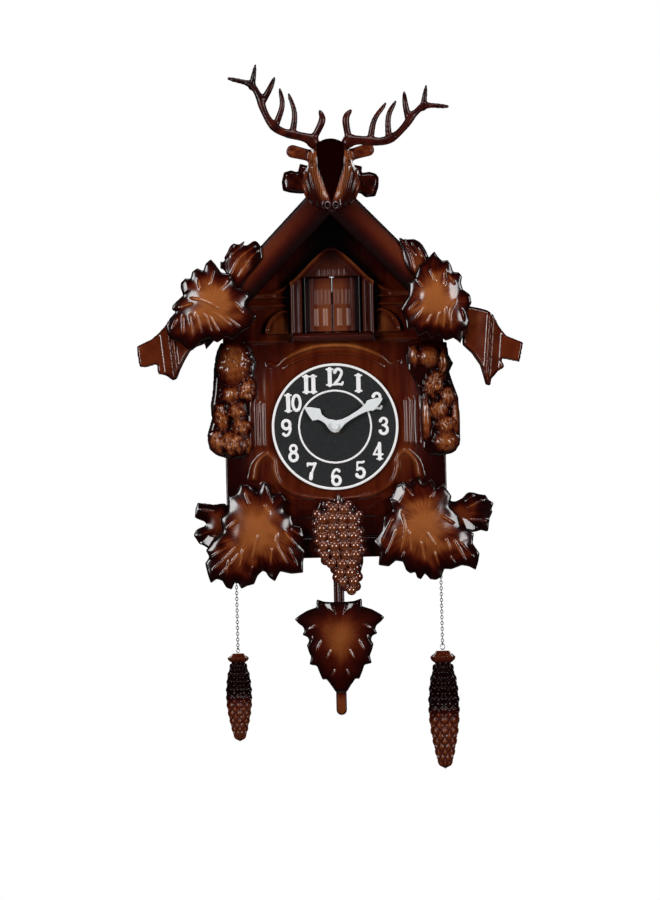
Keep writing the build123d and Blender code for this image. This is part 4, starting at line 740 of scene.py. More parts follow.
END_LEFT = [
    (-118.3, -22), (-132, -20), (-146, -23), (-151, -29), (-155, -35), (-167, -45), (-181.4, -51.6),
    (-180.5, -62), (-179, -72), (-172.7, -73), (-163, -70.4), (-162.5, -77), (-161.4, -79.2), (-152.6, -80.8),
    (-147.6, -84.6), (-143.8, -82.8), (-140.5, -74.6), (-136, -66), (-131, -58), (-125, -54), (-118.3, -52),
]
END_RIGHT = [
    (118.3, -24), (127, -22.5), (136, -24.6), (142, -26.5), (147, -30), (150, -35), (152, -40), (160, -49.5),
    (175.6, -56.3), (173.5, -66), (171.4, -76), (155, -72.4), (157.5, -77), (156.6, -80.7), (150, -84),
    (144.4, -89.6), (143.3, -96), (138.8, -95), (136.5, -86), (134, -77), (126.6, -66), (118.3, -58),
]


def roof_end(name, outline, side, fold_top, fold_foot):
    """Ribbon-like carved branch: an upper fold, a sharp crease running down, and the flat end beyond it."""
    def top_at(x, z, inside):
        _, along = to_segment(x, z, *fold_top, *fold_foot)
        beyond = side * (x - (fold_top[0] + (fold_foot[0] - fold_top[0]) * along))
        bend = np.where(beyond > 0, 9.0 - 5.5 * smooth(0, 9, beyond), 10.0 - 4.0 * smooth(0, 20, -beyond))
        crease = 2.4 * ridge(beyond + 3.5, 1.1) + 1.6 * ridge(beyond - 0.5, 0.9)
        groove = -1.8 * ridge(beyond + 1.2, 0.9)
        return BARGE_BACK + bend * 0.9 + crease + groove - 2.5 * (1 - smooth(0, 3, inside))

    def tone_at(x, z, inside, depth):
        level = 0.56 + 0.06 * waves(x, z, 24, 4)
        return level * smooth(0.0, 3.2, inside) * smooth(BARGE_BACK, BARGE_BACK + 3, depth)

    plaque(name, outline, BARGE_BACK, top_at, CARVED, tone_at=tone_at)


roof_end("roof_end_left", END_LEFT, -1, (-152, -28), (-146, -86))
roof_end("roof_end_right", END_RIGHT, 1, (148, -28), (142, -97))

# ---- stag
HEAD_X = 1.5
BAR = [
    (-43, 87), (-44, 96), (-42, 104), (-35, 106), (-29, 104), (-27, 112), (-20, 110), (22, 110), (31, 108),
    (30, 102), (37, 103), (43, 101), (46, 97), (45, 88), (42, 80), (33, 79), (28, 83), (-28, 84), (-36, 85),
]


def bar_top(x, z, inside):
    """Lumpy carved bar with a raised seat that the head's back rests on."""
    lumps = 1.6 * np.maximum(waves(x, z, 18, 21), -0.4)
    seat = BARGE_FRONT + 11.9 * (1 - smooth(19, 25, np.hypot(x - HEAD_X, z - 94)))
    return np.maximum(BARGE_FRONT + 8.5 + lumps - 3 * (1 - smooth(0, 3.5, inside)), seat)


def bar_tone(x, z, inside, depth):
    return 0.34 * smooth(0, 5, inside) + 0.1 * waves(x, z, 10, 2)


plaque("head_bracket", BAR, BARGE_FRONT, bar_top, CARVED, tone_at=bar_tone, soft=1.5)


def cone_field(x, d, z, start, end, ra, rb):
    """Distance to a rod that tapers between two points (x, depth, z)."""
    ax, ad, az = start
    bx, bd, bz = end
    run = np.array([bx - ax, bd - ad, bz - az], float)
    t = ((x - ax) * run[0] + (d - ad) * run[1] + (z - az) * run[2]) / (run @ run)
    t = np.clip(t, 0, 1)
    away = np.sqrt((x - ax - t * run[0]) ** 2 + (d - ad - t * run[1]) ** 2 + (z - az - t * run[2]) ** 2)
    return away - (ra + (rb - ra) * t)


def egg_field(x, d, z, centre, radii):
    """Approximate distance to an ellipsoid."""
    ux, ud, uz = [(a - c) / r for a, c, r in zip((x, d, z), centre, radii)]
    size = np.sqrt(ux ** 2 + ud ** 2 + uz ** 2) + 1e-9
    return (size - 1) * min(radii)


def stag_field(x, d, z):
    u = np.abs(x - HEAD_X)
    neck = egg_field(u, d, z, (0, 154, 92), (25.5, 16, 24))
    head = smin(neck, egg_field(u, d, z, (0, 166, 114), (17.5, 17, 18.5)), 5)
    cheek = cone_field(u, d, z, (10, 176, 112), (5, 186, 84), 7, 4.5)
    head = smin(head, cheek, 3)
    head = smin(head, cone_field(u, d, z, (0, 173, 112), (0, 188, 74), 10, 6.2), 4)
    head = smin(head, egg_field(u, d, z, (0, 189, 72), (7.5, 6.0, 6.5)), 2.5)
    brow = egg_field(u, d, z, (10.5, 178, 117), (5, 5, 4.5))
    head = smin(head, brow, 2.5)
    eye_pit = egg_field(u, d, z, (14.5, 178, 110.5), (4, 4, 3))
    head = smax(head, -eye_pit, 1.2)
    head = np.minimum(head, egg_field(u, d, z, (13.2, 176.5, 110.5), (3.0, 3.0, 2.4)))
    ear = cone_field(u, d, z, (12, 164, 116.5), (34.5, 164, 122.5), 4.8, 6.4)
    ear = smax(ear, np.abs(d - 164 - 0.1 * (u - 12)) - 4.5, 2)
    hollow = cone_field(u, d, z, (20, 171, 118.5), (35, 171, 122), 3.4, 4.2)
    ear = smax(ear, -hollow, 1.5)
    head = smin(head, ear, 2.0)
    nostril = egg_field(u, d, z, (3.6, 194, 72), (1.4, 2.2, 1.6))
    head = smax(head, -nostril, 1.0)
    # strands of the mane and the cheeks
    strand = 0.35 * np.sin(u * 1.6 - 0.22 * z + 2.2 * np.sin(z * 0.11)) * smooth(5, 12, u)
    head = head - strand * (1 - smooth(100, 112, z))
    return np.maximum(head, 152.05 - d)


def stag_tone(x, d, z):
    u = np.abs(x - HEAD_X)
    blaze = np.clip(1.2 + (z - 77) * 0.37, 0, 12.5)
    streak = 0.16 * np.sin(u * 3.1 + 0.25 * z + 1.5 * np.sin(z * 0.4))
    cheek = band(u, blaze - 0.8, blaze + 0.8, blaze + 6, blaze + 11) * (z < 122)
    level = 0.27 + cheek * (0.52 + 1.3 * streak) * smooth(70, 82, z)
    level = np.where(u > 22, 0.58 + 0.10 * waves(x * 0.5, z, 6, 4), level)
    forehead = (1 - smooth(blaze - 0.8, blaze + 0.8, u)) * smooth(73, 77, z) * smooth(160, 166, d)
    level = level * (1 - forehead) - 0.30 * forehead
    return level * (0.35 + 0.65 * smooth(152, 160, d)) * (0.45 + 0.55 * smooth(70, 80, z))


solid_from("stag_head", (-48, 149, 60), (51, 200, 138), 0.8, stag_field, STAG_BROWN, "clock", stag_tone)

# antler branches, from the burr outward and up
BEAM = [(0, 0), (3, 2.5), (12, 3), (27.6, 1.2), (41.5, 3.6), (53.7, 14.4), (61.3, 23.9), (72.5, 32.8),
        (93.3, 31.9)]
TINES = [
    [(3, 2.5), (0.4, 16.9), (0.6, 24.8), (4.9, 30.3)],
    [(22, 2.5), (26.2, 20.9), (36.7, 35.9)],
    [(39, 3.5), (39.2, 23.9), (46, 37.6)],
    [(58, 20), (55.1, 33.7), (54.1, 45.7)],
    [(71, 31), (74.3, 51.1)],
]


def antler(side, burr, degrees):
    """One antler: a curved beam with tines that flow out of it, standing on its burr."""
    cos, sin = turned(degrees)
    middle = 165.0

    def place(u, v):
        return burr[0] + side * (u * cos - v * sin), burr[1] + u * sin + v * cos

    rods = []
    for branch, thick, slim in [(BEAM, 3.4, 1.3)] + [(tine, 2.4, 0.8) for tine in TINES]:
        path = curve_through(branch)
        radii = np.linspace(thick, slim, len(path))
        points = []
        for i, spot in enumerate(path):
            x, z = place(*spot)
            points.append((x, middle + 3.0 * math.sin(i / len(path) * 3), z))
        rods += list(zip(points, points[1:], radii, radii[1:]))
    root, foot = place(0, 0), 2.6
    rods.append(((root[0], middle, root[1]), (root[0] - side * 3, middle, root[1] - 6), foot, foot))
    ends = np.array([p for rod in rods for p in rod[:2]])
    low, high = ends.min(0) - 5, ends.max(0) + 5
    step, near = 0.5, 6.0
    axes = sample_axes(low, high, step)
    field = np.full([len(a) for a in axes], 9.0)
    for start, end, ra, rb in rods:
        corners = np.array([start, end])
        window, (x, d, z) = sample_window(axes, corners.min(0) - near, corners.max(0) + near, step)
        field[window] = smin(field[window], cone_field(x, d, z, start, end, ra, rb), 1.3)
    x, d, z = np.meshgrid(*axes, indexing="ij")
    knob_x, knob_z = place(0.5, 0.5)
    field = smin(field, egg_field(x, d, z, (knob_x, middle, knob_z), (4.4, 4.4, 3.0)), 1.0)
    verts, faces = surface_net(field, low, step)
    height = verts[:, 2] - burr[1]
    tone = 0.30 + 0.10 * waves(verts[:, 0], verts[:, 2], 14, 9) - 0.2 * smooth(30, 56, height)
    name = "antler_" + SIDES[side]
    add_mesh(name + "_carved", verts, faces, ANTLER_BROWN, stands_for=[name], tone=tone)


antler(-1, (-12.9, 128.6), 20.0)
antler(1, (16.2, 128.4), 0.0)

# ---- game trophies beside the dial
RELIEF_LEFT = [
    (-104, -50), (-108, -58), (-111, -73), (-112, -88), (-113, -98), (-115, -108), (-114, -120),
    (-118.5, -135), (-116.5, -148), (-110, -154), (-103, -157), (-92, -158), (-80, -158), (-76, -148),
    (-74, -128), (-73, -110), (-70, -96), (-72, -82), (-70, -70), (-74, -58), (-80, -52), (-92, -48),
]
RELIEF_RIGHT = [
    (105.5, -54), (106, -66), (111, -74), (107, -82), (110, -92), (114.6, -105), (116, -128),
    (115.2, -149), (108.8, -157), (98, -160), (86, -159), (78, -154), (78, -132), (77, -108), (72, -92),
    (66, -80), (66, -66), (68, -57), (86, -52),
]


def fur_strokes(x, z, u, v, seed):
    return waves(x, z, 6.5, seed) * 0.9 + waves(x, z, 3.2, seed + 1) * 0.5


def feather_strokes(x, z, u, v, seed):
    return np.sin(u * 1.9 + 1.5 * np.sin(v * 5)) * 0.7


def trophy(name, outline, lumps, seed, strokes):
    """Carved game: rounded bodies (middle, radii, rise, turn, shagginess) with strokes, lying on a board."""
    back = PANEL + 0.2

    def shape(x, z):
        high = np.full(np.shape(x), 3.0)
        fur = np.zeros(np.shape(x))
        glow = np.zeros(np.shape(x))
        for cx, cz, rx, rz, rise, turn, shaggy in lumps:
            cos, sin = turned(turn)
            loose = 0.18 * min(shaggy, 1)
            u = ((x - cx) * cos + (z - cz) * sin) / rx + loose * waves(x, z, 10, seed + 7)
            v = (-(x - cx) * sin + (z - cz) * cos) / rz + loose * waves(x, z, 10, seed + 9)
            size = u * u + v * v
            bulk = np.clip(1 - size, 0, 1)
            body = rise * np.sqrt(bulk)
            on_top = (size < 1) & (body > high - 2.0)
            fur = np.where(on_top, shaggy * strokes(x, z, u * rx, v, seed), fur)
            glow = np.where(on_top, bulk ** 0.7, glow)
            high = np.maximum(high, 2.0 + body)
        return high, fur, glow

    def top_at(x, z, inside):
        high, fur, _ = shape(x, z)
        return back + (high + fur) * (0.35 + 0.65 * smooth(0, 5, inside))

    def tone_at(x, z, inside, depth):
        _, fur, glow = shape(x, z)
        level = 0.10 + 0.80 * glow + 0.26 * fur + 0.10 * waves(x * 1.4, z, 5, seed + 3)
        return level * smooth(-0.5, 3, inside) * smooth(PANEL, PANEL + 3, depth)

    plaque(name, outline, back, top_at, CARVED, tone_at=tone_at, step=0.8, soft=0.8)


trophy("side_relief_left", RELIEF_LEFT, [
    (-92, -70, 17, 22, 9, 6, 0.35), (-80, -94, 9, 12, 9, -15, 1.0), (-95, -98, 10, 9, 9, 20, 0.5),
    (-90, -114, 9, 10, 11, 0, 0.9), (-104, -120, 7, 14, 7, 10, 0.7), (-86, -128, 10, 9, 10, -20, 1.0),
    (-109, -142, 9, 13, 10, 12, 1.0), (-94, -143, 14, 13, 14, 0, 1.2), (-80, -146, 5, 10, 6, 0, 0.3),
], 31, fur_strokes)
trophy("side_relief_right", RELIEF_RIGHT, [
    (74, -66, 5, 12, 7, 5, 0.2), (88, -68, 12, 11, 9, 0, 0.3), (102, -72, 6, 14, 6, -8, 0.6),
    (92, -93, 10, 15, 11, -32, 1.2), (104, -104, 8, 10, 8, 0, 0.8), (96, -116, 12, 9, 10, 15, 0.9),
    (102, -130, 11, 9, 11, 0, 0.9), (102, -146, 13, 11, 13, -8, 0.5), (84, -124, 5, 22, 5, 0, 0.3),
    (111, -124, 4, 18, 6, 0, 0.2),
], 37, feather_strokes)

# ---- grapes
# berries in each row from the top, and the row's middle
GRAPE_ROWS = [(3, 1.5), (5, 0.5), (5, -0.5), (5, 0.5), (5, 1.5), (5, 2.5), (4, 3.5), (3, 6.0), (3, 8.5),
              (2, 11.5)]
GRAPE_OUTLINE = [
    (-18, -197), (-8, -194), (4, -193), (14, -196), (22, -206), (25, -222), (26, -240), (26, -256),
    (22, -270), (16, -279), (8, -277), (-4, -262), (-18, -246), (-22, -226), (-22, -208),
]


def grape_cluster():
    """Two layers of round berries over a flat board, with a short stalk."""
    made = np.random.default_rng(5)
    berries = []
    for layer, forward in enumerate((100.5, 103.8)):
        for row, (count, shift) in enumerate(GRAPE_ROWS):
            number = count - layer
            for i in range(number):
                bx = shift + (i - (number - 1) / 2) * 9.5 + made.uniform(-0.6, 0.6)
                bz = -202.5 - row * 8.3 - 4.1 * layer + made.uniform(-0.6, 0.6)
                middle = np.array((bx, forward + made.uniform(-0.6, 0.6), bz))
                berries.append((middle, made.uniform(4.4, 4.9)))
    low, step = (-30.0, 90.5, -290), 0.7
    board_front, board_margin, near = 99.5, 3.0, 8
    axes = sample_axes(low, (34.0, 112, -192), step)
    field = np.full([len(a) for a in axes], 9.0)
    for middle, radius in berries:
        window, (x, d, z) = sample_window(axes, middle - near, middle + near, step)
        ball = np.sqrt((x - middle[0]) ** 2 + (d - middle[1]) ** 2 + (z - middle[2]) ** 2) - radius
        field[window] = smin(field[window], ball, 0.25)
    x, d, z = np.meshgrid(*axes, indexing="ij")
    board = outline_distance(x[:, 0, :], z[:, 0, :], GRAPE_OUTLINE)[:, None, :] + board_margin
    field = smin(field, np.maximum(board, d - board_front), 0.6)
    field = smin(field, cone_field(x, d, z, (1, 100, -201), (1.5, 100, -193.6), 2.4, 1.6), 1.0)
    field = np.maximum(field, PANEL + 0.2 - d)
    verts, faces = surface_net(field, low, step)
    # settle the berry faces onto true spheres
    for middle, radius in berries:
        away = verts - middle
        size = np.linalg.norm(away, axis=1)
        close = np.abs(size - radius) < 0.22
        verts[close] = middle + away[close] * (radius / size[close])[:, None]
    tone = 0.14 + 0.56 * smooth(board_front, 107.5, verts[:, 1])
    add_mesh("grape_cluster_carved", verts, faces, GRAPE_BROWN, stands_for=["grape_cluster"], tone=tone)


grape_cluster()

# ---- gabled niche and its doors
NICHE = mirrored([(39, -52), (39, 4), (33, 10), (22, 20), (12, 29), (5, 34.5), (0, 36)])
GABLE_LINE = mirrored([(40, 2), (34, 6), (27, 13), (19, 21.5), (11, 29), (4, 33.5), (0, 34)])


def niche_top(x, z, inside):
    ax = np.abs(x)
    high = np.full(np.shape(x), 94.5)
    post = band(ax, 28.5, 30, 38.0, 39.2) * (z < 5)
    high = high + 4.0 * post
    rail = ridge(ax - 37.6, 1.4) + 0.5 * ridge(ax - 30, 1.4)
    high = high + 1.8 * rail * (z < 4)
    crest = line_distance(x, z, GABLE_LINE)
    high = np.maximum(high, 95 + 8.0 * ridge(crest, 3.0))
    # six short ribs in the gable
    rib_pitch = 5.0
    rib = np.cos((x - rib_pitch / 2) * 2 * math.pi / rib_pitch) * (ax < 15.2)
    high = high + 1.0 * np.clip(rib, 0, 1) * band(z, 5.5, 10, 12, 17)
    # ledge with a rounded nose
    ledge = (z < -43.2) * (ax < 36.5)
    nose = 13.0 * np.sqrt(np.clip(1 - ((z + 47.6) / 4.8) ** 2, 0, 1))
    return np.where(ledge, 95 + nose, high)


def niche_tone(x, z, inside, depth):
    ax = np.abs(x)
    level = 0.24 + 0.02 * (depth - 94)
    level = level + 0.30 * ridge(line_distance(x, z, GABLE_LINE), 2.6) * (1 - smooth(26, 33, z))
    level = level + 0.24 * (1 - smooth(8, 24, ax)) * band(z, 2, 8, 18, 32)
    rail = ridge(ax - 38.2, 1.2) + 0.6 * ridge(ax - 29, 1.2)
    level = level + 0.34 * rail * (z < 4)
    level = np.where(z < -43, 0.34, level)
    return level * smooth(88, 93, depth)


def niche_opening(x, z):
    return -np.maximum(np.abs(x) - 27.8, np.abs(z - NICHE_MID) - 25.6)


plaque("door_frame", NICHE, PANEL + 0.05, niche_top, DOOR_BROWN, tone_at=niche_tone, step=0.7, soft=0.5,
       rounding=0, cut=niche_opening)


def door_leaf(side):
    """Shutter with a long lower and a shorter upper tier of rounded ribs."""
    seam, hinge, foot, head = 0.1, 25.6, -43, 7.5
    rib_pitch = 3.9

    def top_at(x, z, inside):
        u = side * x
        upper = band(z, -18.0, -16.5, -4.5, -3.0)
        lower = band(z, -38.5, -37, -21.5, -20)
        fine = np.clip(np.cos((u - 2.0) * 2 * math.pi / rib_pitch), -0.35, 1) * (u < 15.8)
        wide = ridge(u - 6.5, 1.5) + ridge(u - 15, 1.5)
        return 92.9 + 0.8 * fine * upper + wide * lower + 0.4 * ridge(u - 19, 1.4)

    def tone_at(x, z, inside, depth):
        u = side * x
        # painted light and shade: the base tone is raised to make up for the roof's shadow on the doors, and
        # the strip by the hinge and the leaf's rim are painted dark as shade in the gaps around the leaf
        level = 0.72 + 0.20 * (depth - 93) - 0.28 * smooth(10, 18, u) - 0.12 * smooth(-2, 7, z)
        level = level - 0.4 * smooth(19, 22, u)
        return level * smooth(91, 92.6, depth) - 0.4 * (1 - smooth(0.4, 1.4, inside))

    outline = [(side * u, z) for u, z in ((seam, foot), (hinge, foot), (hinge, head), (seam, head))]
    word = SIDES[side]
    plaque("door_leaf_" + word, outline, 90.9, top_at, DOOR_BROWN, "door_" + word, tone_at, 0.5, 0.3, 0)


for side in SIDES:
    door_leaf(side)


# ---- dial
def digit_parts():
    """Strokes of each figure as (points, half width), about its centre, 14.6 high; short bars are serifs."""
    tall, low = 7.3, -7.3
    return {
        "1": [([(0, tall - 0.6), (0, low + 0.6)], 1.7), ([(-2.7, low + 0.7), (2.7, low + 0.7)], 0.75),
              ([(-2.7, tall - 0.7), (2.7, tall - 0.7)], 0.75)],
        "2": [(arc(0, 3.6, 3.0, 3.1, 165, -30, 10), 1.15), ([(2.7, 2.2), (0.6, -1.8), (-2.9, -5.6)], 1.2),
              ([(-3.2, -6.3), (0.5, -6.0), (3.0, -6.5), (3.9, -4.7)], 1.0),
              ([(-2.9, 4.2), (-2.6, 4.6)], 1.5)],
        "3": [(arc(-0.2, 3.7, 2.9, 3.0, 150, -70, 10), 1.1), (arc(-0.2, -3.1, 3.3, 3.6, 70, -155, 12), 1.25),
              ([(-1.2, 0.6), (0.8, 0.6)], 0.8), ([(-2.9, 4.4), (-2.7, 4.7)], 1.4),
              ([(-3.2, -4.4), (-3.0, -4.8)], 1.5)],
        "4": [([(1.5, tall - 0.9), (1.5, low + 0.6)], 1.4), ([(1.2, tall - 1), (-3.6, -2.6)], 0.8),
              ([(-3.8, -2.9), (4.0, -2.9)], 0.85), ([(-0.9, low + 0.6), (3.9, low + 0.6)], 0.6)],
        "5": [([(-2.4, 6.3), (2.2, 6.3), (3.0, 6.9)], 1.0), ([(-2.6, 6.4), (-2.8, 0.8)], 0.8),
              (arc(-0.1, -2.6, 3.4, 3.9, 135, -150, 12), 1.25), ([(-3.2, -4.3), (-3.0, -4.8)], 1.5)],
        "6": [(arc(0.6, 0.0, 4.0, 6.4, 75, 180, 9), 1.1), (arc(0.1, -3.0, 3.3, 3.6, 0, 360, 20), 1.25),
              ([(2.6, 5.0), (2.4, 5.2)], 1.3)],
        "7": [([(-3.2, 6.0), (0.2, 5.7), (3.2, 6.1)], 1.25), ([(3.3, 5.8), (0.8, 0.2), (-0.4, -3.2)], 0.95),
              ([(-0.4, -2.4), (-0.9, low + 0.9)], 1.5), ([(-3.5, 6.0), (-3.6, 4.0)], 0.7)],
        "8": [(arc(0, 3.7, 2.7, 2.9, 0, 360, 18), 1.1), (arc(0, -3.2, 3.3, 3.5, 0, 360, 20), 1.25)],
        "9": [(arc(-0.6, 0.0, 4.0, 6.4, -105, 0, 9), 1.1), (arc(-0.1, 3.0, 3.3, 3.6, 0, 360, 20), 1.25),
              ([(-2.6, -5.0), (-2.4, -5.2)], 1.3)],
        "0": [(arc(0, 0, 3.2, 6.5, 0, 360, 26), 1.25)],
    }


def dial_markings():
    """Two raised rings and the twelve upright figures between them."""
    figures = digit_parts()
    marks = []
    narrow, squat, swell = 1.06, 1.08, 1.15
    step = 0.4
    for hour in range(1, 13):
        angle = math.radians(90 - 30 * hour)
        cx, cz = 44.8 * math.cos(angle), DIAL_Z - 0.4 + 46.0 * math.sin(angle)
        text = str(hour)
        spacing = {"10": 7.6, "11": 6.6, "12": 7.8}.get(text, 0)
        for place, figure in enumerate(text):
            fx = cx + (place - (len(text) - 1) / 2) * spacing
            marks.append((fx, cz, figures[figure]))
    xs = np.arange(-60, 60.2, step)
    x, z = np.meshgrid(xs, xs + DIAL_Z, indexing="ij")
    radius = np.hypot(x, z - DIAL_Z)
    flat = np.maximum(radius - 58.3, 55.9 - radius)
    flat = np.minimum(flat, np.abs(radius - 33.1) - 1.05)
    for fx, fz, strokes in marks:
        near = (np.abs(x - fx) < 8) & (np.abs(z - fz) < 10)
        best = np.full(int(near.sum()), 9.0)
        for points, half in strokes:
            stroke = line_distance((x[near] - fx) / narrow, (z[near] - fz) / squat, points)
            best = np.minimum(best, stroke - half * swell)
        flat[near] = np.minimum(flat[near], best)
    plate, front = 99.5, 100.1
    ds = np.arange(98.3, 101.6, step)
    lift = np.where(radius > 50, 0.5, 0.0)
    field = smax(flat[:, None, :], ds[None, :, None] - (front + lift)[:, None, :], 0.25)
    field = np.maximum(field, plate - ds[None, :, None])
    verts, faces = surface_net(field, (xs[0], ds[0], xs[0] + DIAL_Z), step)
    add_mesh("dial_markings_raised", verts, faces, WHITE, "clock", ["dial_markings"])


dial_markings()

HOUR_HALF = [(33.8, 0), (29, 2.9), (24, 5.2), (20.5, 6.6), (18.6, 5.0), (16.6, 3.0), (13, 2.4), (9, 2.7),
             (5.5, 4.2), (3, 5.2), (0, 5.6), (-3, 4.9), (-5.2, 2.6)]
MINUTE_HALF = [(51, 0), (49, 1.6), (45, 3.6), (41, 4.8), (37.5, 5.6), (35.5, 4.2), (31, 2.9), (25, 2.2),
               (16, 2.0), (9, 2.6), (5, 4.0), (2.5, 4.8), (0, 5.0), (-3, 4.2), (-4.8, 2.0)]


def clock_hand(body, half, degrees, bore):
    """Painted stamped hand: spade-shaped blade on a waisted stalk."""
    node = body + "_hand"
    cos, sin = turned(degrees)
    ring = half + [(u, -v) for u, v in half[1:][::-1]]
    outline = [(u * cos - v * sin, DIAL_Z + u * sin + v * cos) for u, v in ring]
    low, high = box_mm(node)
    plaque(node, outline, low[1], lambda x, z, inside: high[1] + 0 * x, HAND, body, None, 0.4, 0.2, 0,
           lambda x, z: bore - np.hypot(x, z - DIAL_Z), "_stamped")


clock_hand("hour", HOUR_HALF, 146.5, 2.6)
clock_hand("minute", MINUTE_HALF, 29.5, 1.6)


# ---- pendulum
ROD_HALF, ROD_FOOT, ROD_HEAD = 4.9, -391.4, -196.9
ROD = arc(0, ROD_FOOT, ROD_HALF, ROD_HALF, 180, 360, 12) + arc(0, ROD_HEAD, ROD_HALF, ROD_HALF, 0, 180, 12)


def rod_top(x, z, inside):
    """Softened edges and a groove down the middle."""
    return 60.6 + 0.7 * smooth(0, 1.8, inside) - 0.7 * ridge(x, 0.9) * (z > -376) * (z < -200)


def rod_tone(x, z, inside, depth):
    return (0.28 + 0.42 * smooth(-372, -384, z)) * smooth(0, 1.6, inside)


plaque("pendulum_rod", ROD, 58.3, rod_top, CARVED_UP, "pendulum", rod_tone, 0.5, 0.4, 0, made="_moulded")

BOB_HALF = [
    (0, -291.5), (7.5, -291.6), (14, -291), (20.9, -288.6), (21.2, -292), (21, -296), (30, -299), (37, -303),
    (41.9, -306.6), (38, -311), (34, -314), (32.7, -317.5), (35, -321.5), (30, -323.6), (28.6, -327),
    (31, -331), (29.3, -337), (27.2, -342), (29, -349), (22, -350.4), (20.5, -355), (17, -363.5),
    (13.6, -362.8), (9, -369), (5.2, -375),
]
BOB_VEINS = [
    [(16, -326), (22, -338)], [(7, -334), (13, -346)], [(24, -322), (28, -332)], [(4, -352), (8, -362)],
    [(19, -312), (29, -317)],
]


def bob_top(x, z, inside):
    ratio, _ = star(x, z, (0, -322), inside)
    ax = np.abs(x)
    # two bright facets beside the rod
    facet = 1 - smooth(-1.0, 0.6, outline_distance(ax, z, [(3.8, -303.5), (17, -293), (7, -291.5)]))
    plane = 4.2 - 0.36 * (ax - 4) - 0.14 * (z + 298)
    dome = 4.6 * (1 - blur(ratio, 8) ** 1.6)
    return 65.3 + dome + facet * (plane - dome) + 1.0 * vein_height(ax, z, BOB_VEINS)


def bob_tone(x, z, inside, depth):
    ratio, turn = star(x, z, (0, -324), inside)
    level = 0.88 - 0.70 * smooth(0.10, 0.95, ratio + 0.05 * waves(x, z, 16, 3))
    level = level + 0.04 * np.sin(turn * 19) * (1 - ratio) + 0.25 * vein_height(np.abs(x), z, BOB_VEINS)
    return level * smooth(0.6, 6, inside) * smooth(61, 64, depth)


plaque("pendulum_bob", mirrored(BOB_HALF), 61.35, bob_top, CARVED, "pendulum", bob_tone, 0.8)


# ---- cone weights
# share of the height from the cap to the foot, and share of the greatest radius there
CONE_PROFILE = [(0.0, 0.5), (0.02, 0.62), (0.05, 0.86), (0.075, 0.80), (0.10, 0.58), (0.14, 0.62),
                (0.26, 0.86), (0.42, 0.98), (0.56, 0.97), (0.70, 0.84), (0.84, 0.62), (0.93, 0.46),
                (0.975, 0.30), (1.0, 0.0)]
CAP_END = 0.10


def cone_weight(side, size, widen):
    """Pine-cone weight: a flared cap with a wire eye over rows of diamond scales."""
    word = SIDES[side]
    name, body = "weight_" + word, word + "_weight"
    low, high = box_mm(name)
    cx, cd = (low[0] + high[0]) / 2, (low[1] + high[1]) / 2
    foot, eye_z = low[2], high[2]
    widest = (high[0] - low[0]) / 2 * widen - 0.9 * size
    top_z = eye_z - 7.2 * size
    rows, turns = 190, 120
    scales_around, twist = 8, 11
    verts, tones = [], []
    shares, widths = zip(*CONE_PROFILE)
    for i in range(rows + 1):
        share = i / rows
        wide = np.interp(share, shares, widths) * widest
        lower = smooth(0.38, 0.62, share)
        for j in range(turns):
            theta = 2 * math.pi * j / turns
            scales = 0.0
            if share > 0.115:
                around = scales_around * j / turns
                da, db = (abs((around + lean * share * twist) % 1 - 0.5) * 2 for lean in (1, -1))
                scales = (1 - max(da, db) ** 2.0) * 2.0 * size * min(1, wide / 4)
            elif 0.03 < share < CAP_END:
                scales = 0.7 * size * math.cos(scales_around * theta)
            radius = max(wide + scales - 0.5 * size, 0.02)
            verts.append((cx + radius * math.cos(theta), cd + radius * math.sin(theta),
                          top_z - share * (top_z - foot)))
            level = -0.22 + 0.62 * lower + 0.13 * scales / size * (0.3 + lower)
            tones.append(0.5 if share < CAP_END else level)
    faces = swept_quads(rows + 1, turns)
    faces += [list(range(turns)), [rows * turns + j for j in range(turns)][::-1]]
    add_mesh(name + "_cone", verts, faces, CONE_BROWN, body, stands_for=[name], tone=np.array(tones))
    # wire eye
    wire, loop, stretch = 0.42, 2.4 * size, 1.35
    ring, tube = 40, 12
    verts = []
    for i in range(ring):
        t = 2 * math.pi * i / ring
        for j in range(tube):
            p = 2 * math.pi * j / tube
            away = loop - wire + wire * math.cos(p)
            verts.append((cx + away * math.cos(t), cd + wire * math.sin(p),
                          eye_z - 0.05 - loop * stretch + away * stretch * math.sin(t)))
    faces = [(a, d, c, b) for a, b, c, d in swept_quads(ring, tube, True)]
    add_mesh(name + "_eye", verts, faces, STEEL, body)


def fine_chain(side):
    """Closed links turned a quarter from one to the next."""
    word = SIDES[side]
    name = "chain_" + word
    low, high = box_mm(name)
    cx, cd = (low[0] + high[0]) / 2, (low[1] + high[1]) / 2
    foot, top = low[2], high[2]
    count = round((top - foot) / 2.7)
    pitch = (top - foot - 0.9) / count
    wire, wide = 0.36, 1.1
    tall = pitch / 2 + wire
    ring, tube = 20, 8
    verts, faces = [], []
    for link in range(count):
        middle = foot + 0.45 + pitch * (link + 0.5)
        quads = swept_quads(ring, tube, True, len(verts))
        faces += quads if link % 2 else [quad[::-1] for quad in quads]
        for i in range(ring):
            t = 2 * math.pi * i / ring
            for j in range(tube):
                p = 2 * math.pi * j / tube
                flat = math.cos(t) * (wide + wire * math.cos(p))
                rise = math.sin(t) * (tall + wire * math.cos(p))
                out = wire * math.sin(p)
                spot = (cx + flat, cd + out) if link % 2 else (cx + out, cd + flat)
                verts.append((*spot, middle + rise))
    add_mesh(name + "_links", verts, faces, NICKEL, word + "_chain", [name])


for side in SIDES:
    fine_chain(side)
cone_weight(-1, 0.74, 1.18)
cone_weight(1, 1.0, 1.04)


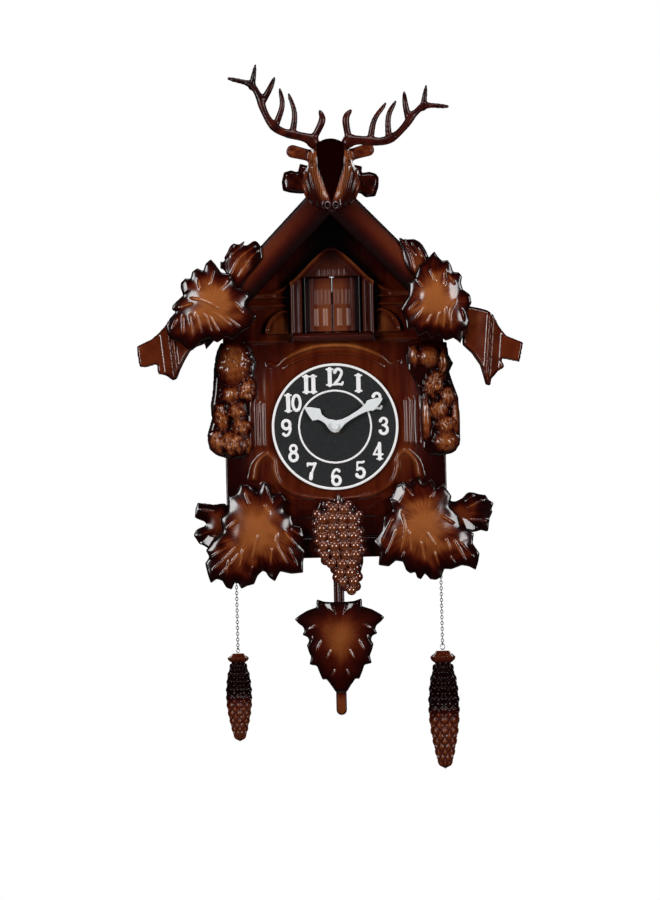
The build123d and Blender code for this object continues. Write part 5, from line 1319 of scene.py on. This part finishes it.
# ---- cuckoo
def bird_field(x, d, z):
    u = np.abs(x)
    body = egg_field(u, d, z, (0, 53, -22.5), (8.6, 14, 8.8))
    body = smin(body, egg_field(u, d, z, (0, 63.8, -14.2), (6.6, 6.8, 6.6)), 3)
    body = smin(body, cone_field(u, d, z, (0, 44, -23), (0, 25, -25), 5.5, 2.2), 3)
    wing = egg_field(u, d, z, (8.6, 48, -21), (1.9, 12, 5.6))
    wing = wing + 0.25 * np.sin(d * 1.6 + z * 0.9)
    body = smin(body, wing, 0.6)
    eye = egg_field(u, d, z, (5.0, 67, -12.8), (1.5, 1.5, 1.5))
    body = np.minimum(body, eye)
    leg = cone_field(u, d, z, (0, 55, -36.4), (0, 55, -30), 2.4, 2.4)
    body = smin(body, leg, 1.0)
    return np.maximum(body, -36.45 - z)


def bird_tone(x, d, z):
    u = np.abs(x)
    belly = smooth(-20, -28, z)
    level = 0.50 + 0.34 * belly + 0.14 * np.sin(d * 1.6 + z * 0.9) * (u > 7)
    eye = (u > 4.6) & (np.hypot(d - 67, z + 12.8) < 1.7)
    return np.where(eye, 0.0, level)


solid_from("bird_body", (-13, 20, -38.2), (13, 73, -5), 0.5, bird_field, CARVED, "cuckoo", bird_tone)


# ---- studio
def studio():
    """Pale floor far below, a white backdrop for the camera alone, soft lamps and a distant camera."""
    floor_z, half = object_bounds()[0].z - 2.2, 1.5
    corners = [(-half, -half), (half, -half), (half, half), (-half, half)]
    mesh = bpy.data.meshes.new("studio_floor")
    mesh.from_pydata([(x, y, floor_z) for x, y in corners], [], [(0, 1, 2, 3)])
    mesh.materials.append(plain_material("studio_floor", (0.82,) * 3, (0.86,) * 3, 3, (0.7, 0.8)))
    floor = bpy.data.objects.new("studio_floor", mesh)
    bpy.context.collection.objects.link(floor)
    floor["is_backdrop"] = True

    world = bpy.data.worlds.new("studio")
    bpy.context.scene.world = world
    world.use_nodes = True
    tree = world.node_tree
    glow = tree.nodes["Background"]
    glow.inputs["Color"].default_value = (1, 1, 1, 1)
    glow.inputs["Strength"].default_value = 0.02
    seen = add_node(tree, "Background", Color=(1, 1, 1, 1), Strength=1.0)
    path = add_node(tree, "LightPath")
    mix = add_node(tree, "MixShader")
    tree.links.new(path.outputs["Is Camera Ray"], mix.inputs["Fac"])
    tree.links.new(glow.outputs[0], mix.inputs[1])
    tree.links.new(seen.outputs[0], mix.inputs[2])
    tree.links.new(mix.outputs[0], tree.nodes["World Output"].inputs["Surface"])

    target = Vector((0, -0.10, -0.10))
    lamps = [
        ("key_left", (-1.2, -1.35, 0.22), 0.5, 0.9, 21),
        ("key_right", (1.25, -1.3, 0.14), 0.5, 0.9, 18),
        ("top", (0.1, -0.6, 1.4), 0.8, 0.3, 8),
        ("back_left", (-1.0, 1.8, 0.6), 0.8, 0.8, 8),
        ("back_right", (1.0, 1.8, 0.4), 0.8, 0.8, 8),
    ]
    for name, place, wide, tall, power in lamps:
        lamp = bpy.data.lights.new(name, "AREA")
        lamp.shape = "RECTANGLE"
        lamp.size, lamp.size_y = wide, tall
        lamp.energy = power
        holder = bpy.data.objects.new(name, lamp)
        holder.location = place
        holder.rotation_mode = "QUATERNION"
        holder.rotation_quaternion = (target - Vector(place)).to_track_quat("-Z", "Y")
        bpy.context.collection.objects.link(holder)

    camera = bpy.data.cameras.new("view")
    distance, height_seen, sensor = 12.0, 0.828, 36.0
    camera.sensor_width = sensor
    camera.lens = sensor * distance / height_seen
    holder = bpy.data.objects.new("view", camera)
    holder.location = (-0.0052, -0.0995 - distance, -0.1514)
    holder.rotation_euler = (math.radians(90), math.radians(1.35), 0)
    bpy.context.collection.objects.link(holder)
    bpy.context.scene.camera = holder
    bpy.context.scene.view_settings.view_transform = "Standard"


studio()
